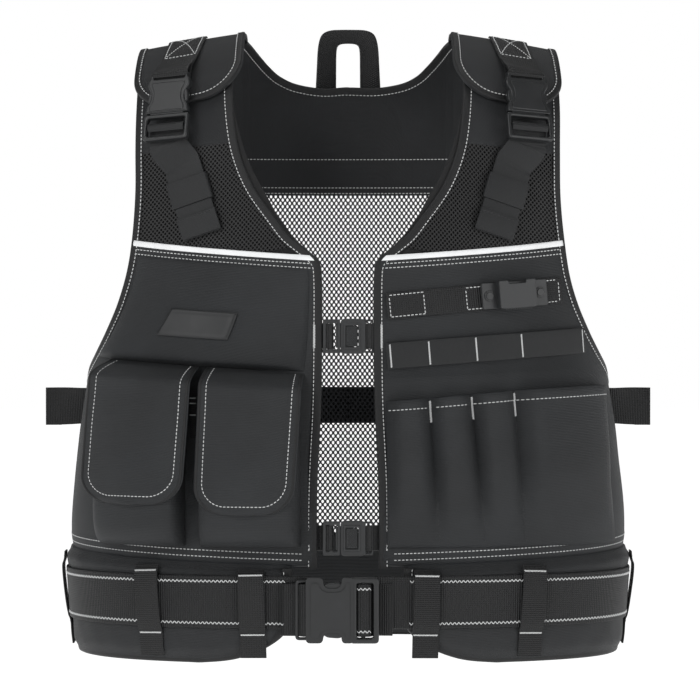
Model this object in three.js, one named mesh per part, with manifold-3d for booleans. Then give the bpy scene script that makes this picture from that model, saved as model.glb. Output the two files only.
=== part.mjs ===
// Utility work vest in its worn shape, in millimetres, +Z up. The front faces -Y and the wearer's left is +X.
// The origin is midway between the two shoulders, at the height where a wearer's shoulders carry the vest.
import * as THREE from 'three';
import { mergeVertices } from 'three/addons/utils/BufferGeometryUtils.js';
import Module from 'manifold-3d';

const wasm = await Module();
wasm.setup();

const { clamp, lerp, degToRad, radToDeg } = THREE.MathUtils;

// Form that the vest is shaped over
const HALF_WIDTH = 272;
const FRONT_DEPTH = 140;
const BACK_DEPTH = 118;
const LENGTH = 600;
const SQUARENESS = 2.4;
const SHOULDER_ROUND = 105;
const NECK_HALF_WIDTH = 104;
const NECK_POINT_RISE = 8;
const SHOULDER_SLOPE = 1 / 6;

// Cloth, webbing and the clearances between layers
const GAP = 0.3;
const CLOTH = 2.4;
const LINING_SPACE = 0.6;
const SETTLE = 0.7;
const BINDING = 3.6;
const BINDING_WIDTH = 9;
const WEBBING = 1.8;
const ELASTIC = 1.2;
const WIDE_WEBBING = 2.4;

// Heights below the shoulders
const STRIP_DROP_SIDE = 197;
const STRIP_DROP_CENTRE = 213;
const STRIP_HEIGHT = 6;
const SEAM_BAND = 11;
const YOKE_DROP = 138;
const ARMHOLE_DROP = 328;
const WAIST_DROP_CENTRE = 504;
const WAIST_DROP_SIDE = 492;

// Waist belt
const PAD = 12;
const PAD_BOTTOM = 597;
const PAD_FRONT_GAP = 52;
const PAD_CORNER = 46;
const BELT_DROP = 537.5;
const BELT_WIDTH = 50;
const LOOP_WIDTH = 25;
const LOOP_SLACK = 3.2;
const LOOP_TAIL = 22;
const BELT_LOOPS = [
  { name: 'left_inner', angle: 12.3 },
  { name: 'left_outer', angle: 36.3 },
  { name: 'left_side', angle: 88 },
  { name: 'right_inner', angle: -15.7 },
  { name: 'right_outer', angle: -40.3 },
  { name: 'right_side', angle: -88 },
  { name: 'back', angle: 180 },
];

// Buckles: a length along the strap, a width across it and a thickness
const BELT_BUCKLE = { socket: 39, frame: 28, width: 57, frameWidth: 62, thick: 13, rail: 5 };
// How far the belt's buckle hangs below the belt's middle line
const BUCKLE_SAG = 6;
const CHEST_BUCKLE = { socket: 30, frame: 17, width: 30, frameWidth: 30, thick: 7, rail: 3 };
const SHOULDER_BUCKLE = { socket: 42, frame: 27, width: 44, frameWidth: 47, thick: 9, rail: 4 };
const CHEST_STRAPS = [
  { level: 'upper', drop: 287, tuck: 0.3 },
  { level: 'lower', drop: 478, tuck: 1.2 },
];
const CHEST_WEBBING = 25;
const CHEST_JOIN = -8.5;
const CHEST_REACH = 56;
const SHOULDER_WEBBING = 38;
const SHOULDER_JOIN = 136;
const SHOULDER_LIFT = 16.5;
const SHOULDER_TAIL = 253;
const KEEPER = { at: 209, length: 24, width: 42, thick: 5.2 };

// Webbing across the back, and the grab handle at the neck
const BACK_STRAP_DROP = 357;
const BACK_STRAP_WIDTH = 38;
const TAIL_REACH = 305;
const HANDLE = {
  half: 34,
  top: 32,
  leg: 20,
  bar: 13,
  bottom: -60,
  round: 10,
  thick: 4,
  lean: 6,
  behind: 107.4,
};

// Shoulder flaps and the straps under them
const FLAP_CLOTH = 3.4;
const FLAP_RIM = 4.2;
const FLAP_BACK = 26;
const FLAP_FRONT = 124;
const FLAP_IN = 101;
const FLAP_OUT = 205;
const FLAP_CORNER = 40;
const SHOULDER_EDGE = 204;

// Pockets of the wearer's right front
const POCKET_WALL = 2;
const POUCH_DEPTH = 26;
const POUCH_MOUTH_DROP = 336;
const POUCH_FOOT_DROP = 486;
const POUCHES = [
  { name: 'outer', from: 0.565, to: 0.86 },
  { name: 'inner', from: 0.165, to: 0.512 },
];
const FLAPS = [
  { name: 'outer', top: [0.515, 0.825], foot: [0.55, 0.87], footDrop: 447 },
  { name: 'inner', top: [0.155, 0.485], foot: [0.185, 0.508], footDrop: 455 },
];
const POUCH_FLAP = 2.4;
const POUCH_FLAP_RIM = 3.2;
const FLAP_CLEAR = 3.2;
const POUCH_FLAP_CORNER = 26;
const CHEST_POCKET_PUFF = 12;
const CHEST_POCKET_FOOT = { centre: 320, side: 305 };
const PATCH = { from: 0.28, to: 0.62, top: 0.48, foot: 0.74 };

// Webbing rows and tool pocket of the wearer's left front
const ROW_WEBBING = 25;
const ROWS = {
  accessory_webbing: { from: 0.135, to: 0.745, drops: [259, 242.5] },
  loop_webbing: { from: 0.135, to: 0.83, drops: [306, 291] },
};
const CLIP = { at: 0.575, drop: 247, width: 67, bridge: 38, height: 27, ear: 25, thick: 2.4, gap: 6.4 };
const TOOL_DEPTH = 14;
const TOOL_FOOT_DROP = 486;
const HEM = 7;
const HEM_RAISE = 0.8;
const TOOL_DIVIDERS = [
  { top: 0.135, foot: 0.14, drop: 350 },
  { top: 0.282, foot: 0.318, drop: 347 },
  { top: 0.425, foot: 0.476, drop: 343.5 },
  { top: 0.572, foot: 0.618, drop: 340 },
  { top: 0.9, foot: 0.94, drop: 336 },
];

// Cross-section of a boxy pocket: shares across it and of its depth
const BOXY = [
  { across: 0, rise: 0 },
  { across: 0, rise: 0.55 },
  { across: 0.035, rise: 0.86 },
  { across: 0.13, rise: 1 },
  { across: 0.37, rise: 1.08 },
  { across: 0.63, rise: 1.08 },
  { across: 0.87, rise: 1 },
  { across: 0.965, rise: 0.86 },
  { across: 1, rise: 0.55 },
  { across: 1, rise: 0 },
];

// Shape of the same pocket from its mouth to its foot
const BOXY_DOWN = [
  { down: 0, rise: 0.8 },
  { down: 0.25, rise: 0.95 },
  { down: 0.6, rise: 1 },
  { down: 0.88, rise: 0.93 },
  { down: 0.97, rise: 0.7 },
  { down: 1, rise: 0.4 },
  { down: 1, rise: 0 },
];

// Cross-sections of the soft chest pocket and of one tool compartment
const SOFT = [
  { across: 0, rise: 0 },
  { across: 0.05, rise: 0.5 },
  { across: 0.16, rise: 0.86 },
  { across: 0.33, rise: 0.98 },
  { across: 0.5, rise: 1 },
  { across: 0.67, rise: 0.98 },
  { across: 0.84, rise: 0.86 },
  { across: 0.95, rise: 0.5 },
  { across: 1, rise: 0 },
];
const SOFT_DOWN = [
  { down: 0, rise: 0.05 },
  { down: 0.4, rise: 0.4 },
  { down: 0.75, rise: 0.85 },
  { down: 0.92, rise: 1 },
  { down: 0.985, rise: 0.8 },
  { down: 1, rise: 0 },
];

// Shares of the form at each drop: the drop is a share of LENGTH, the others of HALF_WIDTH and the two depths
const FORM = [
  { at: -0.06, width: 0.91, front: 0.84, back: 0.85 },
  { at: 0.1, width: 0.915, front: 0.88, back: 0.92 },
  { at: 0.33, width: 0.92, front: 0.95, back: 1.0 },
  { at: 0.52, width: 0.935, front: 0.975, back: 0.98 },
  { at: 0.65, width: 0.974, front: 0.985, back: 0.94 },
  { at: 0.79, width: 1.0, front: 1.0, back: 0.97 },
  { at: 0.87, width: 0.972, front: 0.985, back: 0.99 },
  { at: 1.0, width: 0.955, front: 0.965, back: 0.98 },
];

// Front opening: distance of the cloth's edge from the centre, as a share of HALF_WIDTH
const FRONT_EDGE = [
  { at: 0.03, out: 0.413 },
  { at: 0.14, out: 0.403 },
  { at: 0.195, out: 0.381 },
  { at: 0.2433, out: 0.338 },
  { at: 0.291, out: 0.268 },
  { at: 0.3167, out: 0.228 },
  { at: 0.3383, out: 0.178 },
  { at: 0.3583, out: 0.134 },
  { at: 0.3733, out: 0.124 },
  { at: 0.578, out: 0.125 },
  { at: 0.737, out: 0.14 },
  { at: 0.9, out: 0.14 },
];

// Armhole: the angle round the body of the cloth's front and back edges, in degrees from the front centre
const ARMHOLE = [
  { at: -0.03, front: 52.5, back: 131 },
  { at: 0.09, front: 52.1, back: 131 },
  { at: 0.27, front: 51.7, back: 130.5 },
  { at: 0.338, front: 53.5, back: 129.5 },
  { at: 0.405, front: 56.8, back: 128 },
  { at: 0.47, front: 65.5, back: 124 },
  { at: 0.505, front: 73.5, back: 119 },
  { at: 0.53, front: 83, back: 112 },
  { at: 0.5467, front: 91, back: 103 },
];
const SIDE_SEAM_FRONT = 84;
const SIDE_SEAM_BACK = 108;

// Back neckline: its fall down the back from the shoulder line, over the sideways share of NECK_HALF_WIDTH
const NECKLINE = [
  { at: 0, fall: 119 },
  { at: 0.35, fall: 113 },
  { at: 0.58, fall: 102 },
  { at: 0.67, fall: 93 },
  { at: 0.75, fall: 81 },
  { at: 0.85, fall: 58 },
  { at: 0.92, fall: 34 },
  { at: 0.97, fall: 12 },
];

const MATERIALS = {
  cordura: new THREE.MeshStandardMaterial({ color: 0x23262a, roughness: 0.85 }),
  mesh: new THREE.MeshStandardMaterial({ color: 0x17181a, roughness: 0.9 }),
  binding: new THREE.MeshStandardMaterial({ color: 0x141416, roughness: 0.8 }),
  webbing: new THREE.MeshStandardMaterial({ color: 0x111214, roughness: 0.75 }),
  plastic: new THREE.MeshStandardMaterial({ color: 0x1e2224, roughness: 0.35 }),
  rubber: new THREE.MeshStandardMaterial({ color: 0x1c1f22, roughness: 0.6 }),
  reflective: new THREE.MeshStandardMaterial({ color: 0xe6e8ea, roughness: 0.4 }),
};

// A smooth curve through one column of a table, as a function of the table's first column
function smooth(table, column) {
  const last = table.length - 1;
  const slope = (i) => {
    const [a, b] = [table[Math.max(i - 1, 0)], table[Math.min(i + 1, last)]];
    return (b[column] - a[column]) / (b.at - a.at);
  };
  return (at) => {
    const here = clamp(at, table[0].at, table[last].at);
    let i = 0;
    while (i < last - 1 && here > table[i + 1].at) i++;
    const [a, b] = [table[i], table[i + 1]];
    const span = b.at - a.at;
    const t = (here - a.at) / span;
    const fromA = a[column] + slope(i) * span * t * (1 - t) * (1 - t);
    const ease = t * t * (3 - 2 * t);
    return fromA + (b[column] - a[column]) * ease - slope(i + 1) * span * t * t * (1 - t);
  };
}

const widthShare = smooth(FORM, 'width');
const frontShare = smooth(FORM, 'front');
const backShare = smooth(FORM, 'back');
const frontEdgeShare = smooth(FRONT_EDGE, 'out');
const armholeFront = smooth(ARMHOLE, 'front');
const armholeBack = smooth(ARMHOLE, 'back');
const necklineFall = smooth(NECKLINE, 'fall');

const formWidth = (z) => HALF_WIDTH * widthShare(-z / LENGTH);
const formDepth = (z, facing) => {
  const drop = -z / LENGTH;
  return facing < 0 ? FRONT_DEPTH * frontShare(drop) : BACK_DEPTH * backShare(drop);
};
const crest = (x) => NECK_POINT_RISE - SHOULDER_SLOPE * (Math.abs(x) - NECK_HALF_WIDTH);
const frontEdge = (z) => HALF_WIDTH * frontEdgeShare(-z / LENGTH);

// A point of the form and its outward normal, from the sideways share q, the fullness e and the two signs
function form(q, e, sideways, facing, z) {
  const width = formWidth(z);
  const depth = formDepth(z, facing);
  const x = sideways * q * width;
  const under = clamp((crest(x) - z) / SHOULDER_ROUND, 0, 1);
  const arch = Math.sqrt(under * (2 - under));
  const point = new THREE.Vector3(x, facing * depth * e * arch, z);
  const step = 1;
  const widening = (formWidth(z + step) - formWidth(z - step)) / (2 * step * width);
  const deepening = (formDepth(z + step, facing) - formDepth(z - step, facing)) / (2 * step * depth);
  const [qn, en] = [q ** SQUARENESS, e ** SQUARENESS];
  const overShoulder = (en * (1 - under)) / SHOULDER_ROUND;
  const normal = new THREE.Vector3(
    sideways * (arch * arch * (q ** (SQUARENESS - 1) / width) + overShoulder * SHOULDER_SLOPE),
    (facing * arch * e ** (SQUARENESS - 1)) / depth,
    overShoulder - arch * arch * (qn * widening + en * deepening),
  );
  return { point, normal: normal.normalize() };
}

const lift = ({ point, normal }, height) => point.clone().addScaledVector(normal, height);

// The form at an angle round the body, 0 at the front centre, 90 at the wearer's left and 180 at the back
function around(angle, z) {
  const [s, c] = [Math.sin(degToRad(angle)), Math.cos(degToRad(angle))];
  const power = 2 / SQUARENESS;
  return form(Math.abs(s) ** power, Math.abs(c) ** power, Math.sign(s) || 1, c > 0 ? -1 : 1, z);
}

// The form at a sideways distance x, on the front or the back
function facingAt(x, z, facing = -1) {
  const q = Math.min(Math.abs(x) / formWidth(z), 1);
  return form(q, (1 - q ** SQUARENESS) ** (1 / SQUARENESS), Math.sign(x) || 1, facing, z);
}

const angleOf = (x, z) => radToDeg(Math.asin(Math.min(x / formWidth(z), 1) ** (SQUARENESS / 2)));

// The form at a distance down the front from the shoulder line, or down the back where it is negative
function draped(x, down) {
  const quarter = (SHOULDER_ROUND * Math.PI) / 2;
  const turn = Math.min(Math.abs(down), quarter) / SHOULDER_ROUND;
  const z = crest(x) - SHOULDER_ROUND * (1 - Math.cos(turn)) - Math.max(Math.abs(down) - quarter, 0);
  return facingAt(x, z, down < 0 ? 1 : -1);
}

const fallTo = (x, z) => (SHOULDER_ROUND * Math.PI) / 2 + crest(x) - SHOULDER_ROUND - z;

const steps = (count, from = 0, to = 1) =>
  Array.from({ length: count + 1 }, (_, i) => lerp(from, to, i / count));

// A closed sheet between two faces: place(u, v) gives a point of the inner face and one of the outer
function sheet(columns, rows, place) {
  const [inner, outer] = [[], []];
  for (const v of rows) {
    for (const u of columns) {
      const [low, high] = place(u, v);
      inner.push(...low);
      outer.push(...high);
    }
  }
  const [across, down] = [columns.length, rows.length];
  const over = across * down;
  const index = [];
  const quad = (a, b, c, d) => index.push(a, b, c, a, c, d);
  const wall = (a, b) => quad(over + b, over + a, a, b);
  for (let j = 0; j < down - 1; j++) {
    for (let i = 0; i < across - 1; i++) {
      const a = j * across + i;
      quad(over + a, over + a + 1, over + a + across + 1, over + a + across);
      quad(a, a + across, a + across + 1, a + 1);
    }
  }
  for (let i = 0; i < across - 1; i++) {
    wall(i, i + 1);
    wall((down - 1) * across + i + 1, (down - 1) * across + i);
  }
  for (let j = 0; j < down - 1; j++) {
    wall((j + 1) * across, j * across);
    wall((j + 1) * across - 1, (j + 2) * across - 1);
  }
  return facingOut(new Float32Array([...inner, ...outer]), index);
}

// A geometry whose faces point out, whichever way its grid ran
function facingOut(positions, index) {
  const corner = (i) => new THREE.Vector3().fromArray(positions, 3 * i);
  let volume = 0;
  for (let i = 0; i < index.length; i += 3) {
    const [a, b, c] = [corner(index[i]), corner(index[i + 1]), corner(index[i + 2])];
    volume += a.dot(b.cross(c));
  }
  const turned = volume < 0 ? [...index].reverse() : index;
  return new THREE.BufferGeometry()
    .setAttribute('position', new THREE.BufferAttribute(positions, 3))
    .setIndex(turned);
}

// Frames with a direction along and one across, for a list of points of the form
function withDirections(frames) {
  return frames.map((frame, i) => {
    const before = frames[Math.max(i - 1, 0)].point;
    const after = frames[Math.min(i + 1, frames.length - 1)].point;
    const along = after.clone().sub(before).normalize();
    const across = new THREE.Vector3().crossVectors(frame.normal, along).normalize();
    return { ...frame, along, across };
  });
}

// A band along frames, from one distance to another beside them, between two heights above the form
function band(frames, from, to, low, high) {
  const rows = withDirections(frames);
  return sheet([from, to], steps(rows.length - 1, 0, rows.length - 1), (distance, i) => {
    const { point, normal, across } = rows[Math.round(i)];
    const base = point.clone().addScaledVector(across, distance);
    return [base.clone().addScaledVector(normal, low), base.clone().addScaledVector(normal, high)];
  });
}

// A strap's line over the form, as a function of the distance along it
function track(frames) {
  const rows = withDirections(frames);
  const lengths = [0];
  for (let i = 1; i < rows.length; i++) {
    lengths.push(lengths[i - 1] + rows[i].point.distanceTo(rows[i - 1].point));
  }
  const at = (distance) => {
    let i = 0;
    while (i < rows.length - 2 && distance > lengths[i + 1]) i++;
    const t = (distance - lengths[i]) / (lengths[i + 1] - lengths[i]);
    const mix = (key, share) => rows[i][key].clone().lerp(rows[i + 1][key], share);
    const turned = (key) => mix(key, clamp(t, 0, 1)).normalize();
    return { point: mix('point', t), normal: turned('normal'), across: turned('across') };
  };
  return { at, lengths };
}

// A strap folded in its own plane: the profile's points are [distance along the line, height above the form]
function strap(line, profile, width, thickness) {
  const sides = profile.map(([s, h], i) => {
    const [s0, h0] = profile[Math.max(i - 1, 0)];
    const [s1, h1] = profile[Math.min(i + 1, profile.length - 1)];
    const length = Math.hypot(s1 - s0, h1 - h0);
    const [ns, nh] = [(-(h1 - h0) / length) * (thickness / 2), ((s1 - s0) / length) * (thickness / 2)];
    return [[s - ns, h - nh], [s + ns, h + nh]];
  });
  const lifted = ([s, h], across) => {
    const frame = line.at(s);
    return frame.point.clone().addScaledVector(frame.normal, h).addScaledVector(frame.across, across);
  };
  return sheet([-width / 2, width / 2], steps(profile.length - 1, 0, profile.length - 1), (across, i) => {
    const [low, high] = sides[Math.round(i)];
    return [lifted(low, across), lifted(high, across)];
  });
}

// Points of an arc in a strap's profile
const arc = (s, h, radius, from, to, count) =>
  steps(count, degToRad(from), degToRad(to)).map((a) => [s + radius * Math.cos(a), h + radius * Math.sin(a)]);

// How far a rounded corner draws an edge in, at a distance from its end
const cornerInset = (distance, radius) =>
  distance >= radius ? 0 : radius - Math.sqrt(radius * radius - (radius - distance) * (radius - distance));

// Solids joined and cut with manifold-3d
function solid(geometry) {
  const bare = geometry.clone();
  for (const name of Object.keys(bare.attributes)) if (name !== 'position') bare.deleteAttribute(name);
  const merged = mergeVertices(bare, 1e-4);
  const vertProperties = merged.attributes.position.array;
  const triVerts = new Uint32Array(merged.index.array);
  return new wasm.Manifold(new wasm.Mesh({ numProp: 3, vertProperties, triVerts }));
}

function geometryOf(manifold) {
  const mesh = manifold.getMesh();
  const { numProp, vertProperties } = mesh;
  const count = vertProperties.length / numProp;
  const positions = new Float32Array(count * 3);
  for (let i = 0; i < count; i++) positions.set(vertProperties.subarray(i * numProp, i * numProp + 3), i * 3);
  return new THREE.BufferGeometry()
    .setAttribute('position', new THREE.BufferAttribute(positions, 3))
    .setIndex(new THREE.BufferAttribute(mesh.triVerts, 1));
}

const cut = (geometry, ...tools) =>
  geometryOf(tools.reduce((left, tool) => left.subtract(solid(tool)), solid(geometry)));

const vest = new THREE.Group();

function add(name, geometry, material) {
  const mesh = new THREE.Mesh(geometry, MATERIALS[material]);
  mesh.name = name;
  vest.add(mesh);
  return mesh;
}

// Sets a mesh whose own +Z is out of the cloth and whose +Y is along "up" on a point of the form
function seat(mesh, frame, up, height) {
  const right = new THREE.Vector3().crossVectors(up, frame.normal).normalize();
  const along = new THREE.Vector3().crossVectors(frame.normal, right);
  mesh.quaternion.setFromRotationMatrix(new THREE.Matrix4().makeBasis(right, along, frame.normal));
  mesh.position.copy(lift(frame, height));
  return mesh;
}

const SIDES = [['right', -1], ['left', 1]];
const OVER_CLOTH = LINING_SPACE + CLOTH + GAP;
const ON_PANEL = OVER_CLOTH + SETTLE;
const ON_POCKET = ON_PANEL + SETTLE;
const OVER_BINDING = BINDING + GAP;
const UNDER_BINDING = BINDING_WIDTH / 2;

// Height of the seam that carries the reflective strip, over the share from the front edge to the armhole
const seamHeight = (share) => -lerp(STRIP_DROP_CENTRE, STRIP_DROP_SIDE, share);
const waistHeight = (share) => -lerp(WAIST_DROP_CENTRE, WAIST_DROP_SIDE, share);
const ARMHOLE_TUCK = 1.4;
const outerAngle = (z) => {
  const tuck = z > -ARMHOLE_DROP ? ARMHOLE_TUCK : 0;
  return Math.min(armholeFront(-z / LENGTH) - tuck, SIDE_SEAM_FRONT);
};

// A point of a front panel, from the share across it and a height
function frontPanelAt(side, share, z) {
  return around(side * lerp(angleOf(frontEdge(z) + UNDER_BINDING, z), outerAngle(z), share), z);
}

// Binding lines: along the front opening, and round the armhole from front to back
const FRONT_DROPS = [
  48, 75, 100, 118, 134, 148, 162, 176, 190, 199, 207, 215, 226, 280, 350, 430, WAIST_DROP_CENTRE + 3,
];
const ARMHOLE_DROPS = [46, 75, 110, 150, 190, 225, 255, 282, 300, 315, 324];
const OVER_SHOULDER = [0.4, 35, 65, 90];
const frontLine = (side) => [
  ...OVER_SHOULDER.map((down) => draped(side * frontEdge(-down / 2), down)),
  ...FRONT_DROPS.map((drop) => facingAt(side * frontEdge(-drop), -drop)),
];
const overFront = (side) => OVER_SHOULDER.map((down) => draped(side * SHOULDER_EDGE, down));
const overBack = (side) => OVER_SHOULDER.map((down) => draped(side * (SHOULDER_EDGE - down / 15), -down));
const armholeLine = (side) => [
  ...overFront(side),
  ...ARMHOLE_DROPS.map((drop) => around(side * armholeFront(drop / LENGTH), -drop)),
  ...[93, 99].map((angle) => around(side * angle, -ARMHOLE_DROP)),
  ...[...ARMHOLE_DROPS].reverse().map((drop) => around(side * armholeBack(drop / LENGTH), -drop)),
  ...overBack(side).reverse(),
];
const NECK_SHARES = [0.97, 0.92, 0.85, 0.77, 0.67, 0.52, 0.26];
const neckLine = [...NECK_SHARES.map((share) => -share), 0, ...[...NECK_SHARES].reverse()].map((share) =>
  draped(share * NECK_HALF_WIDTH, -necklineFall(Math.abs(share))),
);

// A binding lies inside its line. Its clearance is the same band, wider and thicker, to cut the cloth with
const bindingOn = (frames, inward) => band(frames, 0, inward * BINDING_WIDTH, 0, BINDING);
const clearanceOn = (frames, inward) =>
  band(frames, -inward * 7, inward * (BINDING_WIDTH + 2 * GAP), -6, BINDING + 8);

const ACROSS = steps(6);
const PANEL_ROWS = [0, 0.12, 0.24, 0.36, 0.43, 0.5, 0.65, 0.82, 1];

const clothAt = (frame) => [lift(frame, LINING_SPACE), lift(frame, LINING_SPACE + CLOTH)];

for (const [word, side] of SIDES) {
  const edges = [clearanceOn(frontLine(side), side), clearanceOn(armholeLine(side), -side)];

  const chestMesh = sheet(ACROSS, [0, 0.17, 0.34, 0.46, 0.6, 0.76, 1], (u, v) => {
    const z = lerp(0, seamHeight(u) + GAP, v);
    const near = frontEdge(z) + UNDER_BINDING;
    const far = Math.abs(around(outerAngle(z), z).point.x);
    const x = side * lerp(near, far, u);
    return clothAt(draped(x, lerp(0.4, fallTo(x, seamHeight(u) + GAP), v)));
  });
  add(`chest_mesh_${word}`, cut(chestMesh, ...edges), 'mesh');

  const frontPanel = sheet(ACROSS, PANEL_ROWS, (u, v) => {
    const z = lerp(seamHeight(u), waistHeight(u), v);
    return clothAt(frontPanelAt(side, u, z));
  });
  add(`front_panel_${word}`, cut(frontPanel, ...edges), 'cordura');

  const strip = sheet(ACROSS, [0, 1], (u, v) => {
    const frame = frontPanelAt(side, u, seamHeight(u) + STRIP_HEIGHT * (v - 0.5));
    return [lift(frame, OVER_CLOTH + GAP), lift(frame, OVER_CLOTH + GAP + ELASTIC)];
  });
  add(`reflective_strip_${word}`, cut(strip, ...edges), 'reflective');

  const sidePanel = sheet(steps(3), [0, 0.33, 0.66, 1], (u, v) => {
    const angle = lerp(SIDE_SEAM_FRONT + 0.2, SIDE_SEAM_BACK - 0.2, u);
    return clothAt(around(side * angle, lerp(-ARMHOLE_DROP - 3, -WAIST_DROP_SIDE, v)));
  });
  add(`side_panel_${word}`, cut(sidePanel, edges[1]), 'cordura');

  add(`front_binding_${word}`, bindingOn(frontLine(side), side), 'binding');
  add(`armhole_binding_${word}`, bindingOn(armholeLine(side), -side), 'binding');
}

// Back: solid yoke at the top, open mesh below it
const armholeClearances = SIDES.map(([, side]) => clearanceOn(armholeLine(side), -side));
const backEdge = (z) => Math.abs(around(armholeBack(-z / LENGTH) + ARMHOLE_TUCK, z).point.x);

function backYoke() {
  const half = [0, 0.14, 0.27, 0.35, 0.4, 0.45, 0.485, 0.515, 0.58, 0.72, 0.86, 1];
  const columns = [...half.slice(1).reverse().map((share) => -share), ...half];
  return sheet(columns, [0, 0.2, 0.42, 0.7, 1], (share, v) => {
    const x = share * backEdge(-YOKE_DROP * v);
    const sideways = Math.abs(x) / NECK_HALF_WIDTH;
    const top = sideways < 1 ? necklineFall(sideways) + UNDER_BINDING : 0.4;
    return clothAt(draped(x, -lerp(top, fallTo(x, -YOKE_DROP), v)));
  });
}

function backMesh() {
  const rows = [YOKE_DROP + GAP, 190, 255, 300, ARMHOLE_DROP, 380, 435, WAIST_DROP_SIDE];
  return sheet(steps(12, -1, 1), rows, (share, drop) => {
    const hole = drop < ARMHOLE_DROP ? armholeBack(drop / LENGTH) + ARMHOLE_TUCK : SIDE_SEAM_BACK;
    const edge = Math.max(hole, SIDE_SEAM_BACK);
    return clothAt(around(180 + share * (180 - edge), -drop));
  });
}

add('back_yoke', cut(backYoke(), ...armholeClearances, clearanceOn(neckLine, -1)), 'cordura');
add('back_mesh', cut(backMesh(), ...armholeClearances), 'mesh');
add('neck_binding', bindingOn(neckLine, -1), 'binding');

// Webbing across the back that comes out past each side as an adjusting tail
function backStrap() {
  const side = around(100, -BACK_STRAP_DROP);
  const held = [100, 108, ...steps(10, 120, 240), 252, 260].map((angle) => around(angle, -BACK_STRAP_DROP));
  const tail = (sideways) => ({
    point: new THREE.Vector3(sideways * TAIL_REACH, side.point.y + 6, -BACK_STRAP_DROP),
    normal: new THREE.Vector3(sideways * 0.25, 1, 0).normalize(),
  });
  const frames = [tail(1), ...held, tail(-1)];
  return band(frames, -BACK_STRAP_WIDTH / 2, BACK_STRAP_WIDTH / 2, ON_PANEL + GAP, ON_PANEL + GAP + WEBBING);
}

add('back_strap', backStrap(), 'webbing');

// Grab handle that stands up behind the neckline
function neckHandle() {
  const outline = new THREE.Shape();
  const { half, top, leg, bar, bottom, round } = HANDLE;
  outline.moveTo(-half, bottom);
  outline.lineTo(-half + 4, top - round);
  outline.quadraticCurveTo(-half + 5, top, -half + round, top);
  outline.lineTo(half - round, top);
  outline.quadraticCurveTo(half - 5, top, half - 4, top - round);
  outline.lineTo(half, bottom);
  outline.lineTo(half - leg, bottom);
  outline.lineTo(half - leg - 1, top - bar);
  outline.lineTo(-half + leg + 1, top - bar);
  outline.lineTo(-half + leg, bottom);
  const depth = HANDLE.thick;
  const geometry = new THREE.ExtrudeGeometry(outline, { depth, bevelEnabled: false, curveSegments: 4 });
  return geometry.rotateX(Math.PI / 2).rotateX(degToRad(HANDLE.lean)).translate(0, HANDLE.behind, 0);
}

add('neck_handle', neckHandle(), 'webbing');

// Shoulder flaps, from behind the shoulder line over to a rounded front end
const FLAP_BASE = OVER_BINDING + 1;

function shoulderFlap(side) {
  const columns = [0, 0.08, 0.22, 0.36, 0.5, 0.64, 0.78, 0.92, 1];
  const rows = [0, 0.16, 0.3, 0.43, 0.55, 0.66, 0.76, 0.85, 0.92, 0.97, 0.995];
  return sheet(columns, rows, (u, v) => {
    const down = lerp(-FLAP_BACK, FLAP_FRONT, v);
    const inset = cornerInset(FLAP_FRONT - down, FLAP_CORNER);
    const frame = draped(side * lerp(FLAP_IN + inset, FLAP_OUT - inset, u), down);
    const rim = u === 0 || u === 1 || v === 0.995 ? FLAP_RIM : FLAP_CLOTH;
    return [lift(frame, FLAP_BASE), lift(frame, FLAP_BASE + rim)];
  });
}

for (const [word, side] of SIDES) add(`shoulder_flap_${word}`, shoulderFlap(side), 'cordura');

// Padded waist belt: the pad with its bound lower edge, open at the front
const padEndAngle = angleOf(PAD_FRONT_GAP, -BELT_DROP);
const PAD_ANGLES = [padEndAngle, 20, 29, 39, 50, 61, 71, 81, 90, 100, 111, 124, 138, 152, 166, 180];
const roundAngles = (half) => [...half, ...half.slice(0, -1).reverse().map((angle) => 360 - angle)];
const PAD_ARC = 2.35;
const arcFrom = (angle) => (Math.min(angle, 360 - angle) - padEndAngle) * PAD_ARC;
const padBottomAt = (angle) => -PAD_BOTTOM + cornerInset(Math.max(arcFrom(angle), 0), PAD_CORNER);

function waistPad() {
  const beltTop = -BELT_DROP + BELT_WIDTH / 2;
  return sheet(roundAngles(PAD_ANGLES), [0, 1, 1.7, 2], (angle, v) => {
    const fromFront = Math.min(angle, 360 - angle);
    const share = Math.min(1, (fromFront - padEndAngle) / (SIDE_SEAM_FRONT - padEndAngle));
    const top = waistHeight(share) - 2 * GAP;
    const bottom = padBottomAt(angle) + UNDER_BINDING;
    const frame = around(angle, v < 1 ? top : lerp(beltTop, bottom, v - 1));
    return [lift(frame, 0), lift(frame, v === 0 ? PAD * 0.6 : PAD)];
  });
}

function padBottomLine() {
  const corner = [0, 8, 20, 34, 50, 68, 90].map((turn) => {
    const out = PAD_CORNER * (1 - Math.cos(degToRad(turn)));
    const up = PAD_CORNER * (1 - Math.sin(degToRad(turn)));
    return around(padEndAngle + out / PAD_ARC, -PAD_BOTTOM + up);
  });
  const mirrored = [...corner].reverse().map(({ point, normal }) => ({
    point: new THREE.Vector3(-point.x, point.y, point.z),
    normal: new THREE.Vector3(-normal.x, normal.y, normal.z),
  }));
  const angles = roundAngles(PAD_ANGLES.filter((angle) => angle > padEndAngle + PAD_CORNER / PAD_ARC + 2));
  const upper = (angle) => around(angle, -WAIST_DROP_CENTRE - 2);
  const foot = angles.map((angle) => around(angle, -PAD_BOTTOM));
  return [upper(padEndAngle), ...corner, ...foot, ...mirrored, upper(-padEndAngle)];
}

const padLine = padBottomLine();
add('waist_pad', cut(waistPad(), band(padLine, -3, BINDING_WIDTH + GAP, -6, PAD + 6)), 'cordura');
add('waist_pad_binding', band(padLine, 0, BINDING_WIDTH, -0.6, PAD + 0.6), 'binding');

// Belt webbing round the pad, held by loops
const BELT_HEIGHT = PAD + 1.4;
const BELT_ENDS = { right: 34, left: 26 };

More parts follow.
